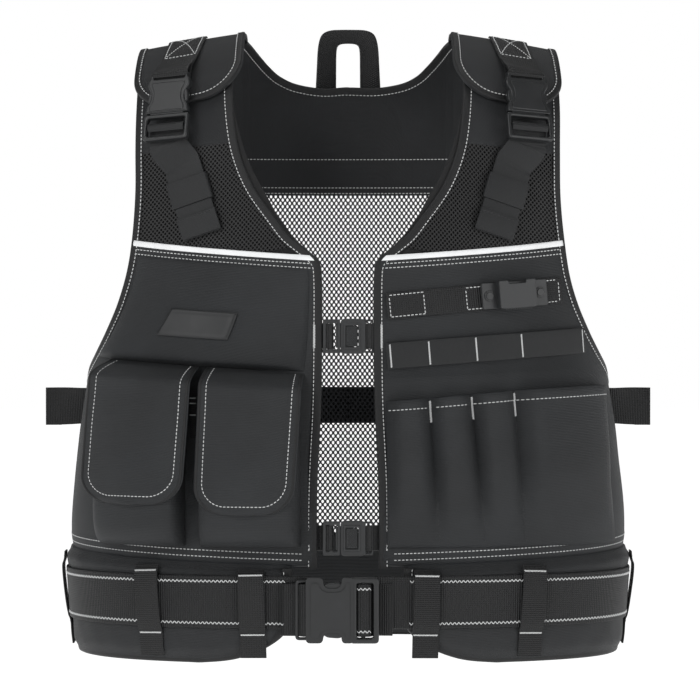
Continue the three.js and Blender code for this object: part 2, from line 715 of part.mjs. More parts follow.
// The form at an angle and a height, moved sideways into the plane that stands on it at the belt
function upright(angle, z) {
  const facing = around(angle, -BELT_DROP);
  const level = facing.normal.clone().setZ(0).normalize();
  const { point, normal } = around(angle, z);
  const out = point.clone().sub(facing.point).dot(level);
  const steep = Math.hypot(normal.x, normal.y);
  return {
    point: facing.point.clone().addScaledVector(level, out).setZ(z),
    normal: level.clone().multiplyScalar(steep).setZ(normal.z),
  };
}

// Loops that hold the belt: tacked above it, slack over it, tacked below it and hanging a short tail
function beltLoop(angle, top) {
  const line = track([top, -BELT_DROP - BELT_WIDTH / 2, -PAD_BOTTOM - 1].map((z) => upright(angle, z)));
  const flat = PAD + 1.6;
  const [over, under] = [BELT_HEIGHT + WIDE_WEBBING + LOOP_SLACK, -BELT_DROP - BELT_WIDTH / 2];
  const [lower, end] = [top - under + 6, top - under + 6 + LOOP_TAIL];
  const rise = top + BELT_DROP - BELT_WIDTH / 2;
  const upper = [[0, flat], [Math.max(1.5, rise - 7), flat], [rise - 2, over]];
  const profile = [...upper, [lower - 8, over], [lower - 2, flat + 0.3], [end, flat]];
  return strap(line, profile, LOOP_WIDTH, WEBBING);
}

for (const { name, angle } of BELT_LOOPS) {
  const share = Math.min(1, Math.abs(angle) / SIDE_SEAM_FRONT);
  add(`belt_loop_${name}`, beltLoop(angle, waistHeight(share) - 5), 'webbing');
}

// Side release buckles. Along their own +X: the frame with its bar, then the socket that holds its tongue
const bevelled = (shape, thick, bevel = 0.8) =>
  new THREE.ExtrudeGeometry(shape, {
    depth: thick - 2 * bevel,
    bevelThickness: bevel,
    bevelSize: bevel,
    bevelOffset: -bevel,
    bevelSegments: 1,
    curveSegments: 2,
  }).translate(0, 0, -thick / 2 + bevel);

function roundedBox(x0, x1, half, corner) {
  const shape = new THREE.Shape();
  shape.moveTo(x0 + corner, -half);
  shape.lineTo(x1 - corner, -half);
  shape.lineTo(x1, -half + corner);
  shape.lineTo(x1, half - corner);
  shape.lineTo(x1 - corner, half);
  shape.lineTo(x0 + corner, half);
  shape.lineTo(x0, half - corner);
  shape.lineTo(x0, -half + corner);
  shape.closePath();
  return shape;
}

const block = (x0, x1, half, thick, z = 0) =>
  new THREE.BoxGeometry(x1 - x0, 2 * half, thick).translate((x0 + x1) / 2, 0, z);

function buckleFrame({ frame, frameWidth, width, thick, rail, socket }) {
  const inner = frameWidth / 2 - rail;
  const bar = block(-frame / 2 - rail * 0.35, -frame / 2 + rail * 0.35, inner + 0.5, 2.4);
  const tongue = block(-1, socket * 0.5, width / 2 - rail * 1.4, thick * 0.3);
  const body = solid(bevelled(roundedBox(-frame, 0, frameWidth / 2, rail * 0.8), thick));
  const window = solid(block(-frame + rail, -rail, inner, thick * 3));
  return geometryOf(body.subtract(window).add(solid(bar)).add(solid(tongue)));
}

function buckleSocket({ socket, width, thick, rail }) {
  const inner = width / 2 - rail * 0.6;
  const shape = roundedBox(GAP, socket, width / 2, rail * 0.8);
  const body = solid(bevelled(shape, thick));
  const well = solid(block(-1, socket * 0.5 + 1, width / 2 - rail * 1.4 + 0.4, thick * 0.3 + 0.8));
  const end = solid(block(socket - 2.4 * rail, socket - rail * 0.9, inner, thick * 3));
  const thin = (up) => solid(block(socket - rail, socket + 1, inner, thick, up * (thick / 2 + 1.2)));
  const thinned = [1, -1].map(thin);
  const notch = (y) => {
    const round = new THREE.CylinderGeometry(rail * 0.7, rail * 0.7, thick * 3, 8).rotateX(Math.PI / 2);
    return solid(round.translate(socket * 0.42, y, 0));
  };
  const parts = [well, end, ...thinned, notch(width / 2), notch(-width / 2)];
  return geometryOf(parts.reduce((left, part) => left.subtract(part), body));
}

// A flat frame for a buckle: its X along "along", its Z out of the cloth
function seatAlong(mesh, frame, along, height) {
  const across = new THREE.Vector3().crossVectors(frame.normal, along).normalize();
  const forward = new THREE.Vector3().crossVectors(across, frame.normal);
  mesh.quaternion.setFromRotationMatrix(new THREE.Matrix4().makeBasis(forward, across, frame.normal));
  mesh.position.copy(lift(frame, height));
  return mesh;
}

// Webbing in a buckle's own frame: a strap laid along X with its profile's heights along Z
function flatStrap(profile, width, thickness) {
  const normal = new THREE.Vector3(0, 0, 1);
  const frames = [0, 1].map((x) => ({ point: new THREE.Vector3(x, 0, 0), normal }));
  return strap(track(frames), profile, width, thickness);
}

// Webbing that comes to a buckle's frame from below, goes over its bar and is tucked in
function threaded({ frame, rail }, radius, from, low) {
  const bar = -frame / 2;
  const over = arc(bar, 0, radius, -60, 90, 4);
  return [...from, [-frame + rail + 0.5, low], [bar, -radius], ...over, [bar - radius - 1, radius * 0.3]];
}

// Webbing that is looped round the bar at a socket's far end and lies on itself
function looped({ socket, rail }, radius, from, low, thickness) {
  const bar = socket - rail * 0.45;
  const onItself = low + thickness + GAP;
  const away = [bar + radius + 1, radius * 0.45];
  const back = [away, [bar + 2.6 * radius, onItself + 0.4], [bar + 24, onItself]];
  return [...from, [bar + 2.1 * radius, low], [bar, -radius], ...arc(bar, 0, radius, 240, 90, 4), ...back];
}

// Belt buckle at the front centre, its frame on the wearer's left end of the belt
const RIGHTWARD = new THREE.Vector3(-1, 0, 0);
const LEFTWARD = new THREE.Vector3(1, 0, 0);
const frontCentre = facingAt(0, -BELT_DROP - BUCKLE_SAG);
const beltBuckleHeight = BELT_HEIGHT + WIDE_WEBBING + GAP + BELT_BUCKLE.thick / 2;
const beltLow = BELT_HEIGHT + WIDE_WEBBING / 2 - beltBuckleHeight;
const beltBuckle = {
  belt_buckle_adjuster: buckleFrame(BELT_BUCKLE),
  belt_buckle_socket: buckleSocket(BELT_BUCKLE),
};
for (const [name, geometry] of Object.entries(beltBuckle)) {
  seatAlong(add(name, geometry, 'plastic'), frontCentre, RIGHTWARD, beltBuckleHeight);
}

// Belt webbing round the pad, threaded through the buckle at both ends
function beltWebbing() {
  const ends = [angleOf(BELT_ENDS.left, -BELT_DROP), 360 - angleOf(BELT_ENDS.right, -BELT_DROP)];
  const angles = [ends[0], ...roundAngles(PAD_ANGLES), ends[1]];
  const frames = angles.map((angle) => around(angle, -BELT_DROP));
  const round = band(frames, -BELT_WIDTH / 2, BELT_WIDTH / 2, BELT_HEIGHT, BELT_HEIGHT + WIDE_WEBBING);
  const atFrame = threaded(BELT_BUCKLE, 3.8, [[-BELT_ENDS.left - 16, beltLow - 0.3]], beltLow);
  const atSocket = looped(BELT_BUCKLE, 4.1, [[BELT_ENDS.right + 30, beltLow - 0.6]], beltLow, WIDE_WEBBING);
  const pieces = [atFrame, atSocket].map((profile) => {
    const mesh = new THREE.Mesh(flatStrap(profile, BELT_WIDTH, WIDE_WEBBING));
    seatAlong(mesh, frontCentre, RIGHTWARD, beltBuckleHeight).updateMatrix();
    return solid(mesh.geometry.clone().applyMatrix4(mesh.matrix));
  });
  return geometryOf(pieces.reduce((joined, piece) => joined.add(piece), solid(round)));
}

add('belt_webbing', beltWebbing(), 'webbing');

// Two chest straps that join the fronts, each behind the bindings and through its own buckle
for (const { level, drop, tuck } of CHEST_STRAPS) {
  const centre = facingAt(0, -drop);
  centre.point.x = CHEST_JOIN;
  const height = CHEST_BUCKLE.thick / 2 - 1.6;
  const low = -(CHEST_BUCKLE.thick + WEBBING) / 2 - GAP;
  const place = (name, geometry, material) =>
    seatAlong(add(name, geometry, material), centre, LEFTWARD, height);
  const fromRight = [[-CHEST_REACH - CHEST_JOIN, low + 0.4 - tuck], [-CHEST_BUCKLE.frame - 4, low]];
  const right = threaded(CHEST_BUCKLE, 2.8, fromRight, low);
  const under = low - WEBBING - 3 * GAP;
  const reach = CHEST_REACH - CHEST_JOIN;
  const fromLeft = [[reach + 8, low - 0.1 - tuck], [reach, under + 1.2 - tuck / 2], [54, under]];
  const left = looped(CHEST_BUCKLE, 3.1, fromLeft, under, WEBBING);
  place(`${level}_buckle_adjuster`, buckleFrame(CHEST_BUCKLE), 'plastic');
  place(`${level}_buckle_socket`, buckleSocket(CHEST_BUCKLE), 'plastic');
  place(`${level}_chest_strap_right`, flatStrap(right, CHEST_WEBBING - 1, WEBBING), 'webbing');
  place(`${level}_chest_strap_left`, flatStrap(left, CHEST_WEBBING - 1, WEBBING), 'webbing');
}

// Pockets: a wall that stands off the panel, closed at its sides and foot and open at its mouth
function pocket(across, down, depth, edge, at) {
  const count = (table) => steps(table.length - 1, 0, table.length - 1);
  return sheet(count(across), count(down), (i, j) => {
    const [side, fall] = [across[Math.round(i)], down[Math.round(j)]];
    const rise = side.rise * fall.rise * depth;
    const inner = at(lerp(edge, 1 - edge, side.across), fall.down * 0.985);
    const outer = at(side.across, fall.down);
    return [lift(inner, ON_POCKET + rise * (1 - POCKET_WALL / depth)), lift(outer, ON_POCKET + rise)];
  });
}

const onRight = (share, drop) => facingAt(-share * HALF_WIDTH, -drop);
const onLeft = (share, drop) => facingAt(share * HALF_WIDTH, -drop);

for (const { name, from, to } of POUCHES) {
  const at = (across, down) => onRight(lerp(from, to, across), lerp(POUCH_MOUTH_DROP, POUCH_FOOT_DROP, down));
  add(`pouch_${name}`, pocket(BOXY, BOXY_DOWN, POUCH_DEPTH, 0.02, at), 'cordura');
}

// Height of a chest pocket's foot, over the share from the front edge to the armhole
const chestFoot = (share) => lerp(CHEST_POCKET_FOOT.centre, CHEST_POCKET_FOOT.side, share);
const chestPocketAt = (across, down) => {
  const share = lerp(0.03, 0.94, across);
  const z = lerp(seamHeight(share) - SEAM_BAND, -chestFoot(share), down);
  return frontPanelAt(-1, share, z);
};
add('chest_pocket', pocket(SOFT, SOFT_DOWN, CHEST_POCKET_PUFF, 0.012, chestPocketAt), 'cordura');

// Bare rubber patch on the chest pocket, tilted with it
function chestPatch() {
  const rise = ({ across, down }) => {
    const shape = Math.sin(Math.PI * across) ** 0.35;
    const fall = lerp(0.4, 0.98, clamp((down - 0.4) / 0.5, 0, 1));
    return shape * fall * CHEST_POCKET_PUFF;
  };
  return sheet(steps(4, PATCH.from, PATCH.to), steps(2, PATCH.top, PATCH.foot), (across, down) => {
    const frame = chestPocketAt(across, down);
    const height = ON_PANEL + Math.max(rise({ across, down }), rise({ across: 0.45, down })) + 1.7;
    return [lift(frame, height), lift(frame, height + ELASTIC)];
  });
}
add('chest_patch', chestPatch(), 'rubber');

// Flaps over the pouches, hinged under the chest pocket's foot
function pouchFlap({ top, foot, footDrop }) {
  const columns = [0, 0.07, 0.25, 0.5, 0.75, 0.93, 1];
  const rows = [0, 0.08, 0.17, 0.26, 0.55, 0.82, 0.9, 0.96, 0.99];
  return sheet(columns, rows, (u, v) => {
    const topDrop = chestFoot((lerp(top[0], top[1], u) - 0.155) / 0.73) + 3;
    const drop = lerp(topDrop, footDrop, v);
    const inset = cornerInset((1 - v) * (footDrop - topDrop), POUCH_FLAP_CORNER) / HALF_WIDTH;
    const [near, far] = [lerp(top[0], foot[0], v), lerp(top[1], foot[1], v)];
    const crown = 0.88 + 0.2 * Math.sin(Math.PI * u);
    const hinge = Math.sin(Math.min(v / 0.14, 1) * (Math.PI / 2));
    const height = ON_PANEL + GAP + hinge * (POUCH_DEPTH * crown + FLAP_CLEAR);
    const rim = u === 0 || u === 1 || v === 0.99 ? POUCH_FLAP_RIM : POUCH_FLAP;
    const frame = onRight(lerp(near + inset, far - inset, u), drop);
    return [lift(frame, height), lift(frame, height + rim)];
  });
}
for (const flap of FLAPS) add(`pouch_flap_${flap.name}`, pouchFlap(flap), 'cordura');

// Narrow webbing down the groove between the pouches
const pen = [338, 360, 384].map((drop) => onRight(0.5385, drop));
add('pen_webbing', band(pen, -3.5, 3.5, OVER_CLOTH, OVER_CLOTH + WEBBING), 'webbing');

// Webbing rows of the wearer's left front
const rowAt = ({ from, to, drops }, share) => onLeft(lerp(from, to, share), lerp(drops[0], drops[1], share));
for (const [name, row] of Object.entries(ROWS)) {
  const frames = steps(8).map((share) => rowAt(row, share));
  add(name, band(frames, -ROW_WEBBING / 2, ROW_WEBBING / 2, ON_PANEL, ON_PANEL + WEBBING), 'webbing');
}

// Clip for a tape measure: a riveted plate with a bridge that leaves a slot behind it
function toolClip() {
  const { width, bridge, height, ear, thick, gap } = CLIP;
  const upright = (x0, x1, half, z0, z1) => solid(block(x0, x1, half, z1 - z0, (z0 + z1) / 2));
  const plate = upright(-width / 2, width / 2, ear / 2, 0, thick);
  const raised = upright(-bridge / 2, bridge / 2, height / 2, 0.1, 2 * thick + gap);
  const slot = upright(-bridge / 2 + thick, bridge / 2 - thick, height, thick, thick + gap);
  const rivet = (x) => {
    const head = new THREE.CylinderGeometry(4.2, 5.2, 1.6, 12).rotateX(Math.PI / 2);
    return solid(head.translate(x, 0, thick + 0.7));
  };
  const notch = upright(-9, 9, 3, thick + gap - 1, 20).translate([0, height / 2, 0]);
  const ears = [-1, 1].map((side) => rivet((side * (width + bridge)) / 4));
  return geometryOf(plate.add(raised).subtract(slot).subtract(notch).add(ears[0]).add(ears[1]));
}
const clipSeat = onLeft(CLIP.at, CLIP.drop);
const CLIP_UP = new THREE.Vector3(-0.08, 0, 1);
seat(add('tool_clip', toolClip(), 'plastic'), clipSeat, CLIP_UP, ON_PANEL + WEBBING + GAP);

// Tool pocket: four compartments side by side, each bulging between the stitched lines that part them
function toolPocket() {
  const compartment = [
    { across: 0.14, rise: 0.66 },
    { across: 0.34, rise: 0.96 },
    { across: 0.66, rise: 0.96 },
    { across: 0.86, rise: 0.66 },
  ];
  const columns = [{ cell: 0, across: 0, rise: 0 }];
  for (let cell = 0; cell < TOOL_DIVIDERS.length - 1; cell++) {
    columns.push(...compartment.map((row) => ({ cell, ...row })), { cell, across: 1, rise: 0 });
  }
  const rows = [0, HEM, HEM + 0.1, 50, 105, 138];
  const fallOff = [1, 1, 1, 0.85, 0.5, 0];
  const count = (table) => steps(table.length - 1, 0, table.length - 1);
  return sheet(count(columns), count(rows), (i, j) => {
    const { cell, across, rise } = columns[Math.round(i)];
    const [before, after] = [TOOL_DIVIDERS[cell], TOOL_DIVIDERS[cell + 1]];
    const share = rows[Math.round(j)] / 138;
    const mouth = lerp(before.drop, after.drop, across);
    const sideways = lerp(lerp(before.top, before.foot, share), lerp(after.top, after.foot, share), across);
    const wide = cell === 3 ? 1.25 : 1;
    const height = ON_PANEL + rise * fallOff[Math.round(j)] * TOOL_DEPTH * wide;
    const wall = j < 1.5 ? POCKET_WALL + HEM_RAISE : POCKET_WALL;
    const frame = onLeft(sideways, lerp(mouth, TOOL_FOOT_DROP, share));
    return [lift(frame, height), lift(frame, height + wall)];
  });
}
add('tool_pocket', toolPocket(), 'cordura');

// Shoulder straps: an anchor over the flap, a buckle, and a strap with a keeper down the chest
const SHOULDER_LINE = [
  { at: 0, out: 157 },
  { at: 36, out: 157 },
  { at: 140, out: 167 },
  { at: 180, out: 157 },
  { at: 253, out: 137 },
];
const shoulderOut = (down) => {
  const i = Math.max(1, SHOULDER_LINE.findIndex((row) => down <= row.at));
  const [a, b] = [SHOULDER_LINE[i - 1], SHOULDER_LINE[i]];
  return lerp(a.out, b.out, (down - a.at) / (b.at - a.at));
};

function shoulderSet(word, side) {
  const on = (down, height) => {
    const frame = draped(side * shoulderOut(down), down);
    return { point: lift(frame, height), normal: frame.normal };
  };
  const join = on(SHOULDER_JOIN, SHOULDER_LIFT);
  const upward = on(SHOULDER_JOIN - 20, 0).point.sub(on(SHOULDER_JOIN + 5, 0).point).normalize();
  const across = new THREE.Vector3().crossVectors(join.normal, upward).normalize();
  const forward = new THREE.Vector3().crossVectors(across, join.normal);
  const onBuckle = (x) => ({ point: join.point.clone().addScaledVector(forward, x), normal: join.normal });
  const { socket, frame, thick } = SHOULDER_BUCKLE;
  const upper = [...steps(5, 4, 62)].map((down) => on(down, SHOULDER_LIFT));
  const lower = [...steps(6, SHOULDER_JOIN + 45, SHOULDER_TAIL)].map((down) => on(down, SHOULDER_LIFT));
  // Both lines run away from the buckle's joint, as its own X does
  const anchorLine = track([...[0, socket / 2, socket, socket + 6].map(onBuckle), ...[...upper].reverse()]);
  const tailLine = track([...[0, -frame / 2, -frame, -frame - 4].map(onBuckle), ...lower]);
  const low = -(thick + WEBBING) / 2 - GAP;
  const flat = FLAP_BASE + FLAP_RIM + GAP + SETTLE + WEBBING / 2 - SHOULDER_LIFT;
  const onMesh = OVER_CLOTH + SETTLE + KEEPER.thick / 2 - SHOULDER_LIFT;
  const end = anchorLine.lengths.at(-1);
  const sewn = flat - SETTLE - (FLAP_RIM - FLAP_CLOTH);
  const anchorTop = [end, sewn];
  const anchorOver = steps(4, 0.85, 0.1).map((share) => {
    const lying = share > 0.4 ? sewn + GAP : flat;
    return [lerp(socket + 22, end, share), lying];
  });
  const anchor = looped(SHOULDER_BUCKLE, 3.4, [anchorTop, ...anchorOver], Math.min(low, flat + 1.2), WEBBING);
  const foot = tailLine.lengths.at(-1);
  const atFoot = OVER_CLOTH + GAP + WEBBING / 2 - SHOULDER_LIFT;
  const down = steps(6, 1, 0.16).map((share) => {
    const lying = share === 1 ? atFoot : onMesh;
    return [-lerp(frame + 8, foot, share), lying];
  });
  const tail = threaded(SHOULDER_BUCKLE, 3.2, down, low);
  const away = tail.map(([s, h]) => [-s, h]);
  add(`shoulder_anchor_${word}`, strap(anchorLine, anchor, SHOULDER_WEBBING, WEBBING), 'webbing');
  add(`shoulder_strap_${word}`, strap(tailLine, away, SHOULDER_WEBBING, WEBBING), 'webbing');
  const halves = { socket: buckleSocket(SHOULDER_BUCKLE), adjuster: buckleFrame(SHOULDER_BUCKLE) };
  for (const [name, geometry] of Object.entries(halves)) {
    const mesh = add(`shoulder_${name}_${word}`, geometry, 'plastic');
    mesh.quaternion.setFromRotationMatrix(new THREE.Matrix4().makeBasis(forward, across, join.normal));
    mesh.position.copy(join.point);
  }
  const outer = solid(block(-KEEPER.length / 2, KEEPER.length / 2, KEEPER.width / 2, KEEPER.thick));
  const inner = solid(block(-KEEPER.length, KEEPER.length, SHOULDER_WEBBING / 2 + 0.8, KEEPER.thick - 2.6));
  const keeper = add(`shoulder_keeper_${word}`, geometryOf(outer.subtract(inner)), 'webbing');
  const held = draped(side * shoulderOut(KEEPER.at), KEEPER.at);
  const upStrap = on(KEEPER.at - 12, 0).point.sub(on(KEEPER.at + 12, 0).point);
  seatAlong(keeper, held, upStrap, OVER_CLOTH + SETTLE + KEEPER.thick / 2);
}
for (const [word, side] of SIDES) shoulderSet(word, side);

export default vest;
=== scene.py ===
import math

import bpy
import numpy as np
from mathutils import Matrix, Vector
from mathutils.bvhtree import BVHTree


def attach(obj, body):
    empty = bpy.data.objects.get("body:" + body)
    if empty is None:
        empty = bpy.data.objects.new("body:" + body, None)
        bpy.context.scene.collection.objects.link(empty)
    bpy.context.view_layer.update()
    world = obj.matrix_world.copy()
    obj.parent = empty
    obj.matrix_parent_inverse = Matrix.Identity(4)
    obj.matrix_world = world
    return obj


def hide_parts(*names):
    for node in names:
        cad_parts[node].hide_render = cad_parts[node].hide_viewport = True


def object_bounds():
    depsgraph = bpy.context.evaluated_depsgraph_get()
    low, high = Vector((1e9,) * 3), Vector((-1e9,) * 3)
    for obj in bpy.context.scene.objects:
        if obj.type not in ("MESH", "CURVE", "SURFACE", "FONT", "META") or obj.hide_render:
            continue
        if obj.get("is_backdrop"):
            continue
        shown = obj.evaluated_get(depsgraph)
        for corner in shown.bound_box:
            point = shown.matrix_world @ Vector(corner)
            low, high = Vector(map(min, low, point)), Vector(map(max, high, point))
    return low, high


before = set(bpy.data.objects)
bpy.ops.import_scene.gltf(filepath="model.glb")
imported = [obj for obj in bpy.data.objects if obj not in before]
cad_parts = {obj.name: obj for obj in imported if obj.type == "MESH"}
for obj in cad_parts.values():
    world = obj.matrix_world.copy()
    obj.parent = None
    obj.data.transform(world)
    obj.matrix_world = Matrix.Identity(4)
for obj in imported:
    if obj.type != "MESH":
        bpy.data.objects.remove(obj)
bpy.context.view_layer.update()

# Looks of the utility work vest
# Sizes are in millimetres, as in the part's source, and are scaled when a mesh is made.
MM = 0.001

# Form that the vest is shaped over
HALF_WIDTH = 272
FRONT_DEPTH = 140
BACK_DEPTH = 118
LENGTH = 600
SQUARENESS = 2.4
SHOULDER_ROUND = 105
NECK_HALF_WIDTH = 104
NECK_POINT_RISE = 8
SHOULDER_SLOPE = 1 / 6

# Cloth, webbing and the heights of the layers above the form
GAP = 0.3
CLOTH = 2.4
LINING_SPACE = 0.6
SETTLE = 0.7
BINDING = 3.6
BINDING_WIDTH = 9
WEBBING = 1.8
WIDE_WEBBING = 2.4
OVER_CLOTH = LINING_SPACE + CLOTH + GAP
ON_PANEL = OVER_CLOTH + SETTLE
UNDER_BINDING = BINDING_WIDTH / 2
OUTER_FACE = LINING_SPACE + CLOTH

# Heights below the shoulders
STRIP_DROP_SIDE = 197
STRIP_DROP_CENTRE = 213
SEAM_BAND = 11
YOKE_DROP = 138
ARMHOLE_DROP = 328
WAIST_DROP_CENTRE = 504
WAIST_DROP_SIDE = 492
PAD = 12
PAD_BOTTOM = 597
PAD_FRONT_GAP = 52
PAD_CORNER = 46
BELT_DROP = 537.5
BELT_WIDTH = 50
BELT_HEIGHT = PAD + 1.4
SHOULDER_EDGE = 204
SIDE_SEAM_FRONT = 84
SIDE_SEAM_BACK = 108
ARMHOLE_TUCK = 1.4

# Shares of the form at each drop: width, front depth and back depth
FORM = [
    (-0.06, 0.91, 0.84, 0.85),
    (0.1, 0.915, 0.88, 0.92),
    (0.33, 0.92, 0.95, 1.0),
    (0.52, 0.935, 0.975, 0.98),
    (0.65, 0.974, 0.985, 0.94),
    (0.79, 1.0, 1.0, 0.97),
    (0.87, 0.972, 0.985, 0.99),
    (1.0, 0.955, 0.965, 0.98),
]
FRONT_EDGE = [
    (0.03, 0.411), (0.14, 0.396), (0.195, 0.371), (0.2433, 0.325), (0.291, 0.251), (0.3167, 0.208),
    (0.3383, 0.15), (0.3583, 0.102), (0.3733, 0.091), (0.578, 0.092), (0.737, 0.107), (0.9, 0.107),
]
ARMHOLE = [
    (-0.03, 52.5, 131), (0.09, 52.1, 131), (0.27, 51.7, 130.5), (0.338, 53.5, 129.5), (0.405, 56.8, 128),
    (0.47, 65.5, 124), (0.505, 73.5, 119), (0.53, 83, 112), (0.5467, 91, 103),
]
NECKLINE = [(0, 112), (0.35, 106), (0.58, 95), (0.67, 87), (0.75, 76), (0.85, 55), (0.92, 33), (0.97, 12)]


def unit(v):
    return v / np.maximum(np.linalg.norm(v, axis=-1, keepdims=True), 1e-12)


def mix(a, b, t):
    return a + (b - a) * t


def ease(t):
    t = np.clip(t, 0, 1)
    return t * t * (3 - 2 * t)


def smooth(table, column):
    """A smooth curve through one column of a table, as a function of its first column."""
    rows = np.array(table, float)
    at, value = rows[:, 0], rows[:, column]
    last = len(at) - 1
    before, after = np.maximum(np.arange(last + 1) - 1, 0), np.minimum(np.arange(last + 1) + 1, last)
    slope = (value[after] - value[before]) / (at[after] - at[before])

    def curve(x):
        here = np.clip(np.asarray(x, float), at[0], at[-1])
        i = np.clip(np.searchsorted(at, here, side="left") - 1, 0, last - 1)
        span = at[i + 1] - at[i]
        t = (here - at[i]) / span
        rise = value[i] + slope[i] * span * t * (1 - t) ** 2
        return rise + (value[i + 1] - value[i]) * t * t * (3 - 2 * t) - slope[i + 1] * span * t * t * (1 - t)

    return curve


width_share, front_share, back_share = smooth(FORM, 1), smooth(FORM, 2), smooth(FORM, 3)
front_edge_share, armhole_front, armhole_back = smooth(FRONT_EDGE, 1), smooth(ARMHOLE, 1), smooth(ARMHOLE, 2)
neckline_fall = smooth(NECKLINE, 1)


def form_width(z):
    return HALF_WIDTH * width_share(-z / LENGTH)


def form_depth(z, facing):
    return np.where(facing < 0, FRONT_DEPTH * front_share(-z / LENGTH), BACK_DEPTH * back_share(-z / LENGTH))


def crest(x):
    return NECK_POINT_RISE - SHOULDER_SLOPE * (np.abs(x) - NECK_HALF_WIDTH)


def front_edge(z):
    return HALF_WIDTH * front_edge_share(-z / LENGTH)


def form(q, e, sideways, facing, z):
    """Points of the form and their outward normals."""
    q, e, sideways, facing, z = np.broadcast_arrays(q, e, sideways, facing, np.asarray(z, float))
    width, depth = form_width(z), form_depth(z, facing)
    x = sideways * q * width
    under = np.clip((crest(x) - z) / SHOULDER_ROUND, 0, 1)
    arch = np.sqrt(under * (2 - under))
    widening = (form_width(z + 1) - form_width(z - 1)) / (2 * width)
    deepening = (form_depth(z + 1, facing) - form_depth(z - 1, facing)) / (2 * depth)
    over = e**SQUARENESS * (1 - under) / SHOULDER_ROUND
    normal = np.stack([
        sideways * (arch * arch * (q ** (SQUARENESS - 1) / width) + over * SHOULDER_SLOPE),
        facing * arch * e ** (SQUARENESS - 1) / depth,
        over - arch * arch * (q**SQUARENESS * widening + e**SQUARENESS * deepening),
    ], -1)
    return np.stack([x, facing * depth * e * arch, z], -1), unit(normal)


def around(angle, z):
    """The form at an angle round the body: 0 is the front's middle and 90 the wearer's left."""
    s, c = np.sin(np.radians(angle)), np.cos(np.radians(angle))
    power = 2 / SQUARENESS
    return form(np.abs(s) ** power, np.abs(c) ** power, np.where(s < 0, -1, 1), np.where(c > 0, -1, 1), z)


def facing_at(x, z, facing=-1):
    x = np.asarray(x, float)
    q = np.minimum(np.abs(x) / form_width(z), 1)
    return form(q, (1 - q**SQUARENESS) ** (1 / SQUARENESS), np.where(x < 0, -1, 1), facing, z)


def angle_of(x, z):
    return np.degrees(np.arcsin(np.minimum(np.asarray(x, float) / form_width(z), 1) ** (SQUARENESS / 2)))


def draped(x, down):
    """The form at a distance down the front from the shoulder line, or down the back where it is negative."""
    x, down = np.broadcast_arrays(np.asarray(x, float), np.asarray(down, float))
    quarter = SHOULDER_ROUND * math.pi / 2
    turn = np.minimum(np.abs(down), quarter) / SHOULDER_ROUND
    z = crest(x) - SHOULDER_ROUND * (1 - np.cos(turn)) - np.maximum(np.abs(down) - quarter, 0)
    return facing_at(x, z, np.where(down < 0, 1, -1))


def fall_to(x, z):
    return SHOULDER_ROUND * math.pi / 2 + crest(x) - SHOULDER_ROUND - z


def seam_height(share):
    return -mix(STRIP_DROP_CENTRE, STRIP_DROP_SIDE, share)


def waist_height(share):
    return -mix(WAIST_DROP_CENTRE, WAIST_DROP_SIDE, share)


def outer_angle(z):
    tuck = np.where(z > -ARMHOLE_DROP, ARMHOLE_TUCK, 0)
    return np.minimum(armhole_front(-z / LENGTH) - tuck, SIDE_SEAM_FRONT)


def front_panel_at(side, share, z):
    return around(side * mix(angle_of(front_edge(z) + UNDER_BINDING, z), outer_angle(z), share), z)


def ripple(p):
    """Soft unevenness that every layer of cloth shares, in millimetres."""
    round_it = 165 * np.arctan2(p[..., 0], -p[..., 1])
    z = p[..., 2]
    broad = np.sin(round_it / 27 + z / 61 + 0.7) * np.sin(z / 34 - round_it / 83)
    fine = np.sin(round_it / 12.3 - z / 31 + 2) * np.sin(z / 17 + round_it / 41)
    return 0.55 * broad + 0.22 * fine


def lift(on, height, even=False):
    point, normal = on
    height = np.asarray(height, float)
    if not even:
        height = height + ripple(point)
    return point + normal * height[..., None]


def corner_inset(distance, radius):
    left = np.clip(radius - distance, 0, radius)
    return radius - np.sqrt(radius * radius - left * left)


def directions(points, normals):
    """Unit directions along a line of points, and across it."""
    after, before = np.roll(points, -1, 0), np.roll(points, 1, 0)
    after[-1], before[0] = points[-1], points[0]
    along = unit(after - before)
    return along, unit(np.cross(normals, along))


def lengths_of(points):
    return np.concatenate([[0], np.cumsum(np.linalg.norm(np.diff(points, axis=0), axis=1))])


def dense(points, normals, step=2.5):
    """A finer line through coarse points, with its normals."""
    points, normals = np.array(points, float), np.array(normals, float)
    at = lengths_of(points)
    slope = np.zeros_like(points)
    slope[1:-1] = (points[2:] - points[:-2]) / (at[2:] - at[:-2])[:, None]
    slope[0], slope[-1] = (points[1] - points[0]) / at[1], (points[-1] - points[-2]) / (at[-1] - at[-2])
    here = np.linspace(0, at[-1], max(2, int(at[-1] / step)))
    i = np.clip(np.searchsorted(at, here, side="right") - 1, 0, len(at) - 2)
    span = (at[i + 1] - at[i])[:, None]
    t = (here - at[i])[:, None] / span
    line = (
        points[i] * (1 + 2 * t) * (1 - t) ** 2 + slope[i] * span * t * (1 - t) ** 2
        + points[i + 1] * t * t * (3 - 2 * t) - slope[i + 1] * span * t * t * (1 - t)
    )
    return line, unit(mix(normals[i], normals[i + 1], t))


def joined(*parts):
    return np.concatenate([p for p, _ in parts]), np.concatenate([n for _, n in parts])


# Meshes: the surface of each made piece is kept, so that stitches can be seated on it
SURFACES = {}
SLAB_SHARP = 55
SWEPT_SHARP = 50
STRAP_STEP = 1.6


def placed(name, data):
    """An object with this data, linked into the scene."""
    made = bpy.data.objects.new(name, data)
    bpy.context.scene.collection.objects.link(made)
    return made


